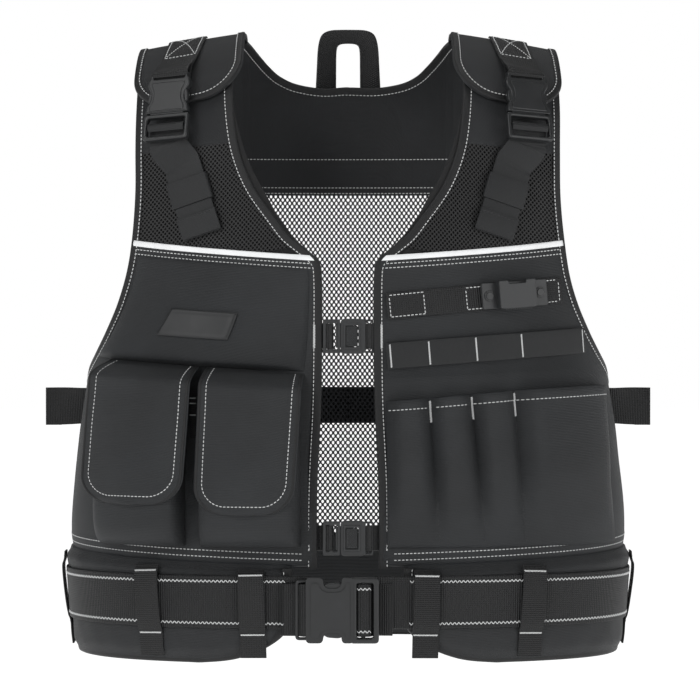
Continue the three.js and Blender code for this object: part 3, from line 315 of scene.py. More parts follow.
def make(name, points, faces, material, uv=None, sharp=None, keep=True):
    points = np.asarray(points, float)
    mesh = bpy.data.meshes.new(name)
    mesh.from_pydata((points * MM).tolist(), [], [list(map(int, f)) for f in faces])
    if uv is not None:
        layer = mesh.uv_layers.new(name="cloth")
        corner = np.zeros(len(mesh.loops), np.int32)
        mesh.loops.foreach_get("vertex_index", corner)
        layer.data.foreach_set("uv", (np.asarray(uv, float) * 0.1)[corner].astype(np.float32).ravel())
    mesh.polygons.foreach_set("use_smooth", np.ones(len(mesh.polygons), bool))
    if sharp:
        mesh.set_sharp_from_angle(angle=math.radians(sharp))
    mesh.materials.append(material)
    mesh.update()
    piece = placed(name, mesh)
    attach(piece, "root")
    if keep:
        SURFACES[name] = (points, faces)
    return piece


def facing_out(points, faces):
    """The faces turned to point out of the solid that they close."""
    volume = 0.0
    for f in faces:
        a = points[f[0]]
        for k in range(1, len(f) - 1):
            volume += float(np.dot(a, np.cross(points[f[k]], points[f[k + 1]])))
    return [f[::-1] for f in faces] if volume < 0 else faces


def grid_uv(surface):
    """Distances along the rows and the columns of a grid of points."""
    across = np.concatenate([
        np.zeros((surface.shape[0], 1)), np.cumsum(np.linalg.norm(np.diff(surface, axis=1), axis=2), 1)], 1)
    down = np.concatenate([
        np.zeros((1, surface.shape[1])), np.cumsum(np.linalg.norm(np.diff(surface, axis=0), axis=2), 0)])
    middle = surface.shape[1] // 2
    across -= across[:, middle:middle + 1]
    return np.stack([across, down], -1).reshape(-1, 2)


def slab(name, low, high, material, uv=None, keep=True):
    """A closed sheet between two grids of points, with a rounded rim."""
    rows, columns = high.shape[:2]
    index = np.arange(rows * columns).reshape(rows, columns)
    rim = [(0, j) for j in range(columns)] + [(i, columns - 1) for i in range(1, rows)]
    rim += [(rows - 1, j) for j in range(columns - 2, -1, -1)] + [(i, 0) for i in range(rows - 2, 0, -1)]
    i, j = np.array(rim).T
    inside = high[np.clip(i, 1, rows - 2), np.clip(j, 1, columns - 2)]
    thickness = np.linalg.norm(high[i, j] - low[i, j], axis=1, keepdims=True)
    middle = (high[i, j] + low[i, j]) / 2 + unit(high[i, j] - inside) * thickness * 0.4
    points = np.concatenate([high.reshape(-1, 3), low.reshape(-1, 3), middle])
    size = rows * columns
    quads = np.stack([index[:-1, :-1], index[:-1, 1:], index[1:, 1:], index[1:, :-1]], -1).reshape(-1, 4)
    faces = quads.tolist() + (quads[:, ::-1] + size).tolist()
    top, last = index[i, j], len(rim)
    for k in range(last):
        n = (k + 1) % last
        faces.append([top[n], top[k], 2 * size + k, 2 * size + n])
        faces.append([2 * size + n, 2 * size + k, size + top[k], size + top[n]])
    flat = grid_uv(high) if uv is None else uv.reshape(-1, 2)
    uv = np.concatenate([flat, flat, flat[top]])
    return make(name, points, facing_out(points, faces), material, uv, SLAB_SHARP, keep)


def swept(name, ring, round_it, along, material):
    """A closed tube through a row of rings, with the distances round it and along it."""
    count, sides = ring.shape[:2]
    index = np.arange(count * sides).reshape(count, sides)
    nxt = np.roll(index, -1, 1)
    faces = np.stack([index[:-1].ravel(), nxt[:-1].ravel(), nxt[1:].ravel(), index[1:].ravel()], 1).tolist()
    faces += [index[0][::-1].tolist(), index[-1].tolist()]
    flat = ring.reshape(-1, 3)
    uv = np.stack(np.meshgrid(round_it, along), -1).reshape(-1, 2)
    return make(name, flat, facing_out(flat, faces), material, uv, SWEPT_SHARP)


def sweep(name, on, profile, material, even=False):
    """A closed profile of (across, height) points carried along a line."""
    points, normals = on
    if not even:
        points = points + normals * ripple(points)[:, None]
    across = directions(points, normals)[1]
    profile = np.array(profile, float)
    sideways, height = profile[None, :, 0, None], profile[None, :, 1, None]
    ring = points[:, None] + across[:, None] * sideways + normals[:, None] * height
    return swept(name, ring, lengths_of(profile), lengths_of(points), material)


def tape(width, thick, low=0.0, offset=0.0, round_it=None):
    """Profile of a flat tape with soft edges, centred on its line."""
    r = thick * 0.5 if round_it is None else round_it
    half = width / 2
    upper = [(half, 0.5), (half - r * 0.4, 0.9), (half - r * 1.4, 1), (half / 3, 1.0), (-half / 3, 1.0)]
    upper += [(-half + r * 1.4, 1), (-half + r * 0.4, 0.9), (-half, 0.5)]
    lower = [(-half + r * 0.4, 0.1), (-half + r * 1.4, 0), (half - r * 1.4, 0), (half - r * 0.4, 0.1)]
    return [(offset + a, low + t * thick) for a, t in upper + lower]


def edge_tape(width, thick, inward, low=0.0):
    """Profile of a binding folded round an edge: it lies inward of its line."""
    shape = [
        (0.1, 0.0), (0.02, 0.18), (0, 0.5), (0.03, 0.83), (0.1, 0.97), (0.28, 1.02), (0.72, 1.0),
        (0.93, 0.94), (1, 0.82), (1, 0.3), (0.93, 0.05),
    ]
    return [(inward * width * a, low + thick * t) for a, t in shape]


def track(on):
    """A line over the form as a function of the distance along it, straight on past its ends."""
    points, normals = on
    along, across = directions(points, normals)
    at = lengths_of(points)

    def where(distance):
        distance = np.asarray(distance, float)
        i = np.clip(np.searchsorted(at, distance, side="right") - 1, 0, len(at) - 2)
        t = ((distance - at[i]) / (at[i + 1] - at[i]))[..., None]
        kept = np.clip(t, 0, 1)
        return (
            mix(points[i], points[i + 1], t), unit(mix(normals[i], normals[i + 1], kept)),
            unit(mix(across[i], across[i + 1], kept)),
        )

    return where, at


def rounded(profile, times=3):
    """A polyline with its corners cut round."""
    line = np.array(profile, float)
    for _ in range(times):
        inner = np.concatenate([0.75 * line[:-1] + 0.25 * line[1:], 0.25 * line[:-1] + 0.75 * line[1:]], 1)
        line = np.concatenate([line[:1], inner.reshape(-1, 2), line[-1:]])
    return line


def strap(name, where, profile, width, thickness, material, even=False, times=3):
    """A strap folded in its own plane, by points of (distance along the line, height above it)."""
    line = rounded(profile, times)
    at = lengths_of(line)
    here = np.linspace(0, at[-1], max(3, int(at[-1] / STRAP_STEP)))
    line = np.stack([np.interp(here, at, line[:, k]) for k in (0, 1)], 1)
    run = np.gradient(line, axis=0)
    run /= np.linalg.norm(run, axis=1, keepdims=True)
    section = np.array(tape(width, thickness, -thickness / 2), float)
    s = line[:, None, 0] - run[:, None, 1] * section[None, :, 1]
    h = line[:, None, 1] + run[:, None, 0] * section[None, :, 1]
    point, normal, across = where(s)
    if not even:
        h = h + ripple(point)
    ring = point + normal * h[..., None] + across * section[None, :, 0, None]
    return swept(name, ring, lengths_of(section), here, material)


def arc(s, h, radius, start, end, count):
    turn = np.radians(np.linspace(start, end, count + 1))
    return [(s + radius * math.cos(a), h + radius * math.sin(a)) for a in turn]


def as_sheet(piece, grid):
    """Works out a sheet of cloth's width and length from its grid, scaled up to the area of its mesh; they
    are not kept.
    """
    mesh = piece.data
    mesh.calc_loop_triangles()
    area = sum(t.area for t in mesh.loop_triangles) / 2
    width, length = (max(MM * x, 0.0101) for x in grid)
    scale = max(1.0, math.sqrt(area / (width * length)))
    width, length = width * scale, length * scale


def declare(piece, node, grid):
    """Hides the solid that a sheet of cloth stands for, and works out the sheet's size."""
    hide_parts(node)
    as_sheet(piece, grid)


# Materials: node-based, with their patterns laid out in the cloth's own centimetres
def nodes_for(name, roughness, specular=0.4, sheen=0.0):
    material = bpy.data.materials.new(name)
    material.use_nodes = True
    tree = material.node_tree
    shader = tree.nodes["Principled BSDF"]
    shader.inputs["Roughness"].default_value = roughness
    shader.inputs["Specular IOR Level"].default_value = specular
    shader.inputs["Sheen Weight"].default_value = sheen
    shader.inputs["Sheen Roughness"].default_value = 0.5
    return material, tree, shader


def node(tree, kind, **values):
    made = tree.nodes.new(kind)
    for key, value in values.items():
        setattr(made, key, value)
    return made


def maths(tree, operation, a, b=None):
    made = node(tree, "ShaderNodeMath", operation=operation)
    for k, value in enumerate((a, b)):
        if isinstance(value, (int, float)):
            made.inputs[k].default_value = value
        elif value is not None:
            tree.links.new(value, made.inputs[k])
    return made.outputs[0]


def cloth_axes(tree):
    uv = node(tree, "ShaderNodeUVMap", uv_map="cloth")
    parts = node(tree, "ShaderNodeSeparateXYZ")
    tree.links.new(uv.outputs[0], parts.inputs[0])
    return parts.outputs[0], parts.outputs[1]


def waves(tree, along, period):
    """A wave from -1 to 1 with a period in millimetres."""
    return maths(tree, "SINE", maths(tree, "MULTIPLY", along, 2 * math.pi * 10 / period))


def noise(tree, scale, detail=3.0, roughness=0.55):
    spot = node(tree, "ShaderNodeTexCoord")
    made = node(tree, "ShaderNodeTexNoise")
    made.inputs["Scale"].default_value = scale
    made.inputs["Detail"].default_value = detail
    made.inputs["Roughness"].default_value = roughness
    tree.links.new(spot.outputs["Object"], made.inputs["Vector"])
    return made.outputs[0]


def coloured(tree, shader, value, stops):
    """Colours the shader from a value by a ramp."""
    ramp = node(tree, "ShaderNodeValToRGB")
    for _ in range(len(stops) - 2):
        ramp.color_ramp.elements.new(0.5)
    for element, (at, colour) in zip(ramp.color_ramp.elements, stops):
        element.position = at
        element.color = (*colour, 1)
    tree.links.new(value, ramp.inputs[0])
    tree.links.new(ramp.outputs[0], shader.inputs["Base Color"])


def bumped(tree, shader, height, distance):
    bump = node(tree, "ShaderNodeBump")
    bump.inputs["Strength"].default_value = 1.0
    bump.inputs["Distance"].default_value = distance * MM
    tree.links.new(height, bump.inputs["Height"])
    tree.links.new(bump.outputs[0], shader.inputs["Normal"])


def shade(colour, share):
    return tuple(c * share for c in colour)


def weave(name, colour, pitch=1.9, sheen=0.03, contrast=0.35):
    """Woven nylon: a diagonal grid of small yarn bumps over uneven dye."""
    material, tree, shader = nodes_for(name, 0.6, 0.42, sheen)
    u, v = cloth_axes(tree)
    one = waves(tree, maths(tree, "ADD", u, maths(tree, "MULTIPLY", v, 0.62)), pitch)
    two = waves(tree, maths(tree, "SUBTRACT", u, maths(tree, "MULTIPLY", v, 0.62)), pitch)
    yarn = maths(tree, "MULTIPLY", one, two)
    cloud = noise(tree, 16, 4)
    grain = noise(tree, 900, 2)
    patch = maths(tree, "ADD", maths(tree, "MULTIPLY", cloud, 1.0), maths(tree, "MULTIPLY", grain, 0.35))
    value = maths(tree, "ADD", patch, maths(tree, "MULTIPLY", yarn, contrast * 0.5))
    coloured(tree, shader, value, [(0.3, shade(colour, 0.62)), (0.66, colour), (1.0, shade(colour, 1.5))])
    height = maths(tree, "ADD", yarn, maths(tree, "MULTIPLY", grain, 0.8))
    bumped(tree, shader, height, 0.16)
    return material


def ribbed(name, colour, pitch=2.1, cross=1.7, depth=0.2, contrast=0.5):
    """Webbing: ribs across its length, broken by the yarns that run along it."""
    material, tree, shader = nodes_for(name, 0.55, 0.4, 0.02)
    u, v = cloth_axes(tree)
    ribs = waves(tree, v, pitch)
    yarns = waves(tree, maths(tree, "ADD", u, maths(tree, "MULTIPLY", ribs, 0.02)), cross)
    pattern = maths(tree, "ADD", ribs, maths(tree, "MULTIPLY", yarns, 0.45))
    grain = noise(tree, 1100, 2)
    uneven = maths(tree, "ADD", grain, 0.02)
    value = maths(tree, "ADD", maths(tree, "MULTIPLY", pattern, contrast * 0.3), uneven)
    coloured(tree, shader, value, [(0.2, shade(colour, 0.5)), (0.55, colour), (0.9, shade(colour, 1.6))])
    bumped(tree, shader, maths(tree, "ADD", pattern, maths(tree, "MULTIPLY", grain, 0.5)), depth)
    return material


def moulded(name, colour, roughness=0.36, grain_size=2600, depth=0.012):
    """Moulded plastic: a fine satin grain, with paler worn patches."""
    material, tree, shader = nodes_for(name, roughness, 0.5)
    grain = noise(tree, grain_size, 2)
    wear = noise(tree, 60, 5, 0.6)
    coloured(tree, shader, wear, [(0.35, shade(colour, 0.85)), (0.62, colour), (0.8, shade(colour, 1.35))])
    rough = node(tree, "ShaderNodeMapRange")
    rough.inputs["To Min"].default_value = roughness - 0.06
    rough.inputs["To Max"].default_value = roughness + 0.12
    tree.links.new(wear, rough.inputs["Value"])
    tree.links.new(rough.outputs[0], shader.inputs["Roughness"])
    bumped(tree, shader, grain, depth)
    return material


def spun(name, colour, roughness=0.6):
    """Sewing thread: pale, with a twist."""
    material, tree, shader = nodes_for(name, roughness, 0.4, 0.1)
    fuzz = noise(tree, 1500, 2)
    coloured(tree, shader, fuzz, [(0.3, shade(colour, 0.72)), (0.6, colour), (0.9, shade(colour, 1.05))])
    bumped(tree, shader, fuzz, 0.05)
    return material


def beaded(name, colour):
    """Reflective tape: a pale film of tiny glass beads."""
    material, tree, shader = nodes_for(name, 0.42, 0.6)
    beads = noise(tree, 3000, 1)
    dull = noise(tree, 35, 3)
    value = maths(tree, "ADD", maths(tree, "MULTIPLY", beads, 0.4), maths(tree, "MULTIPLY", dull, 0.6))
    coloured(tree, shader, value, [(0.3, shade(colour, 0.86)), (0.6, colour), (0.9, shade(colour, 1.06))])
    bumped(tree, shader, beads, 0.02)
    return material


CORDURA = weave("cordura", (0.0112, 0.0126, 0.0142), contrast=0.8)
CORDURA_YOKE = weave("cordura_yoke", (0.0085, 0.0095, 0.011), pitch=1.6, contrast=0.25)
CORDURA_SIDE = weave("cordura_side", (0.02, 0.0245, 0.031), contrast=0.6)
CORDURA_PAD = weave("cordura_pad", (0.0108, 0.012, 0.0134), contrast=0.7)
MESH = spun("mesh_yarn", (0.0125, 0.0125, 0.013), 0.62)
MESH_BACK = spun("mesh_yarn_back", (0.014, 0.015, 0.018), 0.6)
LINING = weave("lining", (0.004, 0.004, 0.0045), pitch=1.5, sheen=0.0)
TAPE = ribbed("binding_tape", (0.0055, 0.0058, 0.0064), pitch=1.3, cross=1.1, depth=0.07, contrast=0.3)
BELT = ribbed("belt_webbing_ribs", (0.0062, 0.0067, 0.0073), pitch=2.15, cross=1.8, depth=0.26, contrast=0.7)
WEB = ribbed("webbing_ribs", (0.0056, 0.0059, 0.0064), pitch=1.9, cross=2.4, depth=0.2, contrast=0.5)
SMOOTH_WEB = ribbed(
    "smooth_webbing", (0.0075, 0.0083, 0.0092), pitch=1.2, cross=0.9, depth=0.05, contrast=0.2,
)
PLASTIC = moulded("buckle_plastic", (0.0135, 0.0145, 0.0155))
PLASTIC_GREY = moulded("buckle_plastic_grey", (0.02, 0.0213, 0.0226), 0.42)
RUBBER = moulded("rubber_patch", (0.011, 0.012, 0.013), 0.5, 1200, 0.03)
REFLECTIVE = beaded("reflective_film", (0.88, 0.89, 0.9))
THREAD = spun("thread_white", (0.62, 0.63, 0.63))
THREAD_DARK = spun("thread_dark", (0.02, 0.021, 0.022))

SIDES = (("right", -1), ("left", 1))


def shares(count, start=0.0, end=1.0):
    return np.linspace(start, end, count)


def size_of(surface):
    """The longest row and column of a grid, in millimetres."""
    rows = np.linalg.norm(np.diff(surface, axis=1), axis=2).sum(1).max()
    columns = np.linalg.norm(np.diff(surface, axis=0), axis=2).sum(0).max()
    return rows, columns


def cloth(name, on, low, high, material, replaced=(), keep=True):
    """A sheet of cloth over the form, between two heights above it, with the parts that it replaces hidden.
    """
    inner, outer = lift(on, low), lift(on, high)
    piece = slab(name, inner, outer, material, keep=keep)
    if replaced:
        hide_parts(*replaced)
    as_sheet(piece, size_of(outer))
    return piece


# Lines that the bindings follow
FRONT_DROPS = np.array([
    48, 75, 100, 118, 134, 148, 162, 176, 190, 199, 207, 215, 226, 280, 350, 430, 507,
], float)
ARMHOLE_DROPS = np.array([46, 75, 110, 150, 190, 225, 255, 282, 300, 315, 324], float)
OVER = np.array([0.4, 35, 65, 90])


def front_line(side):
    upper = draped(side * front_edge(-OVER / 2), OVER)
    return dense(*joined(upper, facing_at(side * front_edge(-FRONT_DROPS), -FRONT_DROPS)))


def armhole_line(side):
    under = np.array([93.0, 99.0])
    back = ARMHOLE_DROPS[::-1]
    return dense(*joined(
        draped(side * SHOULDER_EDGE + 0 * OVER, OVER),
        around(side * armhole_front(ARMHOLE_DROPS / LENGTH), -ARMHOLE_DROPS),
        around(side * under, -ARMHOLE_DROP + 0 * under),
        around(side * armhole_back(back / LENGTH), -back),
        draped(side * (SHOULDER_EDGE - OVER[::-1] / 15), -OVER[::-1]),
    ))


NECK_SHARES = np.array([0.97, 0.92, 0.85, 0.77, 0.67, 0.52, 0.26])


def neck_line():
    at = np.concatenate([-NECK_SHARES, [0], NECK_SHARES[::-1]])
    return dense(*draped(at * NECK_HALF_WIDTH, -neckline_fall(np.abs(at))))


# Meshes with real holes
def pierced(name, at, inside, extent, pitch, hole, low, high, material):
    """A sheet pierced by staggered holes: at lays flat millimetres on the form, inside keeps cells."""
    (s0, s1), (t0, t1) = extent
    dx, dy = pitch
    columns, rows = int((s1 - s0) / dx), int((t1 - t0) / dy)
    j, i = np.meshgrid(np.arange(rows), np.arange(columns), indexing="ij")
    cx = s0 + (i + 0.5 + 0.5 * (j % 2)) * dx
    cy = t0 + (j + 0.5) * dy
    kept = inside(cx, cy)
    cx, cy = cx[kept], cy[kept]
    tall = dy * 0.69
    short = dy - tall
    corners = np.array([
        (0, tall), (dx / 2, short), (dx / 2, -short), (0, -tall), (-dx / 2, -short), (-dx / 2, short),
    ])
    turn = np.radians([90, 28, -28, -90, -152, 152])
    ring = np.stack([np.cos(turn) * hole[0] * 0.56, np.sin(turn) * hole[1] / 2], 1)
    count = len(cx)
    centre = np.stack([cx, cy], 1)
    border = (centre[:, None] + corners[None]).reshape(-1, 2)
    keys = np.round(border * 50).astype(np.int64)
    _, first, shared = np.unique(keys, axis=0, return_index=True, return_inverse=True)
    b = shared.reshape(count, 6)
    flat = np.concatenate([border[first], (centre[:, None] + ring[None]).reshape(-1, 2)])
    h = len(first) + np.arange(count * 6).reshape(count, 6)
    on = at(flat[:, 0], flat[:, 1])
    top, bottom = lift(on, high), lift(on, low)
    size = len(flat)
    front, walls = [], []
    for k in range(6):
        n = (k + 1) % 6
        front += np.stack([b[:, k], b[:, n], h[:, n], h[:, k]], 1).tolist()
        walls += np.stack([h[:, k], h[:, n], h[:, n] + size, h[:, k] + size], 1).tolist()
    a, c, e = (top[front[0][k]] for k in (0, 1, 2))
    flip = np.dot(np.cross(c - a, e - a), on[1][front[0][0]]) < 0
    faces = [f[::-1] for f in front] + [[k + size for k in f] for f in front] + [f[::-1] for f in walls]
    if not flip:
        faces = [f[::-1] for f in faces]
    points = np.concatenate([top, bottom])
    uv = np.concatenate([flat, flat])
    return make(name, points, faces, material, uv, 40)


# Front of the vest
def chest_far(z):
    return np.abs(around(outer_angle(z), z)[0][..., 0])


CHEST_YOKE_FOOT = (102, 111)


def chest_at(side, share, z_share):
    """The chest between the shoulder line and the strip's seam, as shares across it and down it."""
    z = mix(0, seam_height(share), z_share)
    x = mix(front_edge(z) + UNDER_BINDING, chest_far(z), share)
    return side * x, z_share * fall_to(x, seam_height(share))


for word, side in SIDES:
    u, v = np.meshgrid(shares(26), shares(50))
    x, down = chest_at(side, u, mix(0.002, 1, v))
    lining = draped(x, np.maximum(down, 0.4))
    cloth(f"chest_lining_{word}", lining, LINING_SPACE, LINING_SPACE + 0.6, LINING, keep=False)

    foot = mix(CHEST_YOKE_FOOT[0], CHEST_YOKE_FOOT[1], u)
    x = mix(front_edge(-foot * v) + UNDER_BINDING, chest_far(-foot * v), u)
    yoke = draped(side * x, mix(0.4, fall_to(x, -foot), v))
    cloth(f"chest_yoke_{word}", yoke, 1.4, OUTER_FACE, CORDURA_YOKE)

    def chest_flat(s, t, side=side):
        return draped(side * s, t)

    def in_chest(s, t):
        z = draped(s, t)[0][..., 2]
        near, far = front_edge(z) + 3.2, chest_far(z) - 1
        across = np.clip((s - near) / (far - near), 0, 1)
        foot = mix(CHEST_YOKE_FOOT[0], CHEST_YOKE_FOOT[1], across)
        return (s > near) & (s < far) & (z < -foot + 3) & (z > seam_height(across) - 1)

    net = pierced(
        f"chest_mesh_net_{word}", chest_flat, in_chest, ((30, 212), (96, 280)), (4.0, 2.35), (2.0, 2.7),
        1.6, 2.75, MESH,
    )
    declare(net, f"chest_mesh_{word}", (110, 125))

    u, v = np.meshgrid(shares(44), shares(80))
    top = seam_height(u)
    z = mix(top, waist_height(u), v)
    below_seam = top - z
    above_waist = z - waist_height(u)
    fold = 0.55 * ease((13 - below_seam) / 3) * ease((below_seam + 2) / 2)
    fold = fold + 0.5 * ease((15 - above_waist) / 2)
    panel = front_panel_at(side, u, z)
    piece = slab(
        f"front_cloth_{word}", lift(panel, LINING_SPACE), lift(panel, OUTER_FACE + fold), CORDURA,
    )
    declare(piece, f"front_panel_{word}", size_of(panel[0]))

    u, v = np.meshgrid(shares(44), shares(5))
    strip = front_panel_at(side, u, seam_height(u) + 4.9 * (0.5 - v))
    crown = 0.35 * np.sin(np.pi * v)
    piece = slab(
        f"reflective_tape_{word}", lift(strip, OUTER_FACE + 0.3), lift(strip, OUTER_FACE + 1.0 + crown),
        REFLECTIVE,
    )
    declare(piece, f"reflective_strip_{word}", size_of(strip[0]))

    u, v = np.meshgrid(shares(16), shares(30))
    angle = mix(SIDE_SEAM_FRONT - 0.3, SIDE_SEAM_BACK + 0.3, u)
    flank = around(side * angle, mix(-ARMHOLE_DROP - 1, -WAIST_DROP_SIDE + 1, v))
    cloth(
        f"side_cloth_{word}", flank, LINING_SPACE, OUTER_FACE - 0.2, CORDURA_SIDE,
        (f"side_panel_{word}",),
    )

    inward = edge_tape(BINDING_WIDTH, BINDING, side)
    piece = sweep(f"front_edge_binding_{word}", front_line(side), inward, TAPE)
    declare(piece, f"front_binding_{word}", (BINDING_WIDTH * 1.25, 545))
    outward = edge_tape(BINDING_WIDTH, BINDING, -side)
    piece = sweep(f"armhole_edge_binding_{word}", armhole_line(side), outward, TAPE)
    declare(piece, f"armhole_binding_{word}", (BINDING_WIDTH * 1.25, 850))


# Back of the vest
def back_edge(z):
    return np.abs(around(armhole_back(-z / LENGTH) + ARMHOLE_TUCK, z)[0][..., 0])


def yoke_at(share, v):
    x = share * back_edge(-YOKE_DROP * v)
    sideways = np.abs(x) / NECK_HALF_WIDTH
    top = np.where(sideways < 1, neckline_fall(np.minimum(sideways, 1)) + UNDER_BINDING, 0.4)
    return draped(x, -mix(top, fall_to(x, -YOKE_DROP), v))


half = np.concatenate([np.linspace(0, 0.44, 16), np.linspace(0.455, 0.53, 16), np.linspace(0.56, 1, 14)])
u, v = np.meshgrid(np.concatenate([-half[:0:-1], half]), shares(44))
cloth("back_yoke_cloth", yoke_at(u, v), LINING_SPACE, OUTER_FACE, CORDURA_YOKE, ("back_yoke",))

back_turn = np.linspace(0, 90, 181)
back_arc = lengths_of(around(180 + back_turn, -350.0 + 0 * back_turn)[0])


def back_flat(s, t):
    return around(180 + np.sign(s) * np.interp(np.abs(s), back_arc, back_turn), -t)


def in_back(s, t):
    edge = np.maximum(np.where(t < ARMHOLE_DROP, armhole_back(t / LENGTH) + ARMHOLE_TUCK, 0), SIDE_SEAM_BACK)
    return np.abs(s) < np.interp(180 - edge, back_turn, back_arc) + 1.5


for word, side in SIDES:
    def half_back(s, t, side=side):
        return back_flat(side * s, t)

    net = pierced(
        f"back_mesh_net_{word}", half_back, in_back, ((-2.5, 330), (YOKE_DROP - 3, WAIST_DROP_SIDE + 4)),
        (5.05, 3.42), (2.45, 3.8), LINING_SPACE + 0.8, OUTER_FACE - 0.5, MESH_BACK,
    )
    declare(net, "back_mesh", (270, 355))

piece = sweep("neck_edge_binding", neck_line(), edge_tape(BINDING_WIDTH, BINDING, 1), TAPE)
declare(piece, "neck_binding", (BINDING_WIDTH * 1.25, 330))

# Webbing across the back, and its tails at the sides
BACK_STRAP_DROP = 357
BACK_STRAP_WIDTH = 38
TAIL_REACH = 305
side_point = around(100, -BACK_STRAP_DROP)[0]
held_at = np.array([100, 108, *np.linspace(120, 240, 21), 252, 260])


def tail_end(sideways, reach=TAIL_REACH):
    normal = unit(np.array([sideways * 0.25, 1, 0]))
    return np.array([[sideways * reach, side_point[1] + 6, -BACK_STRAP_DROP]]), normal[None]


line = dense(*joined(tail_end(1), around(held_at, -BACK_STRAP_DROP + 0 * held_at), tail_end(-1)), step=2)
piece = sweep("back_webbing", line, tape(BACK_STRAP_WIDTH, WEBBING, ON_PANEL + GAP), WEB)
declare(piece, "back_strap", (BACK_STRAP_WIDTH, 700))
for word, side in SIDES:
    hem = joined(tail_end(side, TAIL_REACH), tail_end(side, TAIL_REACH - 8), tail_end(side, TAIL_REACH - 16))
    flat_tape = tape(BACK_STRAP_WIDTH, 1.5, ON_PANEL + GAP + WEBBING)
    piece = sweep(f"tail_hem_{word}", dense(*hem, step=1.5), flat_tape, WEB)
    as_sheet(piece, (BACK_STRAP_WIDTH, 16))

# Grab handle: webbing folded at its two top corners
HANDLE_LEAN = 6
HANDLE_BEHIND = 107.4
HANDLE_STEPS = 90
HANDLE_OUTSIDE = [(34, -60), (31.6, -10), (30.4, 20), (24, 31.5)]
HANDLE_INSIDE = [(14, -60), (13.3, 0), (12.6, 14), (10, 19.4)]


def arched(leg, crown):
    """A rounded line over an arch, from the corners of one leg and the height of its middle."""
    return rounded([*((-x, z) for x, z in leg), (0, crown), *leg[::-1]], 3)


def even_steps(line, count):
    at = lengths_of(line)
    here = np.linspace(0, at[-1], count)
    return np.stack([np.interp(here, at, line[:, k]) for k in (0, 1)], 1)


outer_line = even_steps(arched(HANDLE_OUTSIDE, 32), HANDLE_STEPS)
inner_line = even_steps(arched(HANDLE_INSIDE, 20.2), HANDLE_STEPS)
across = shares(8)[:, None, None]
flat = mix(outer_line[None], inner_line[None], across)
lean = math.radians(HANDLE_LEAN)
puff = 0.35 * np.sin(np.pi * shares(8))[:, None] * np.ones((8, HANDLE_STEPS))


def on_handle(depth):
    return np.stack([
        flat[..., 0], HANDLE_BEHIND - flat[..., 1] * math.sin(lean) - depth,
        flat[..., 1] * math.cos(lean) - depth * math.sin(lean),
    ], -1)


handle_uv = np.stack(np.meshgrid(20 * shares(8), np.linspace(0, 190, HANDLE_STEPS), indexing="ij"), -1)
piece = slab("handle_webbing", on_handle(0), on_handle(3.4 + puff), WEB, uv=handle_uv)
declare(piece, "neck_handle", (20, 190))

# Shoulder flaps
FLAP_BACK = 26
FLAP_FRONT = 124
FLAP_IN = 101
FLAP_OUT = 205
FLAP_CORNER = 40
FLAP_BINDING = 7.5
FLAP_RIM = 4.2
FLAP_BASE = BINDING + GAP + 1


def flap_at(side, u, v):
    down = mix(-FLAP_BACK, FLAP_FRONT, v)
    inset = corner_inset(FLAP_FRONT - down, FLAP_CORNER)
    return draped(side * mix(FLAP_IN + inset, FLAP_OUT - inset, u), down)


def flap_rim(side, count=60, inset=0.0):
    """A line along the flap's edge, in from it by some millimetres."""
    run = FLAP_FRONT + FLAP_BACK
    corner = 1 - FLAP_CORNER / run
    straight = np.linspace(0, corner, count)
    turn = np.linspace(0, math.pi / 2, 24)[1:]
    round_it = corner + FLAP_CORNER / run * np.sin(turn) * (1 - inset / FLAP_CORNER)
    down_left = np.concatenate([straight, round_it])
    across_in = np.concatenate([straight * 0, FLAP_CORNER * (1 - np.cos(turn)) * (1 - inset / FLAP_CORNER)])
    x_left = FLAP_IN + inset + across_in
    x_right = FLAP_OUT - inset - across_in
    down = np.concatenate([down_left, down_left[::-1]]) * run - FLAP_BACK
    return draped(side * np.concatenate([x_left, x_right[::-1]]), down)


for word, side in SIDES:
    rows = np.concatenate([np.linspace(0, 0.72, 30), np.linspace(0.74, 0.995, 24)])
    u, v = np.meshgrid(shares(30), rows)
    on = flap_at(side, u, v)
    puff = 0.9 * (np.sin(np.pi * u) ** 0.5) * np.minimum(1, (1 - v) * 9) ** 0.5
    under, upper = lift(on, FLAP_BASE, True), lift(on, FLAP_BASE + 2.7 + puff, True)
    piece = slab(f"shoulder_pad_{word}", under, upper, CORDURA_YOKE)
    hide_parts(f"shoulder_flap_{word}")
    rim = dense(*flap_rim(side), step=2.2)
    piece = sweep(
        f"shoulder_pad_binding_{word}", rim, edge_tape(FLAP_BINDING, FLAP_RIM, side, FLAP_BASE), TAPE,
        even=True,
    )
    as_sheet(piece, (FLAP_BINDING * 1.4, 400))

# Padded waist belt
PAD_ARC = 2.35
pad_end = float(angle_of(PAD_FRONT_GAP, -BELT_DROP))
BELT_TOP = -BELT_DROP + BELT_WIDTH / 2
BELT_FOOT = -BELT_DROP - BELT_WIDTH / 2


def pad_top(from_front):
    return waist_height(np.minimum(1, (from_front - pad_end) / (SIDE_SEAM_FRONT - pad_end))) - 2 * GAP


def pad_bottom(from_front):
    return -PAD_BOTTOM + corner_inset(np.maximum((from_front - pad_end) * PAD_ARC, 0), PAD_CORNER)


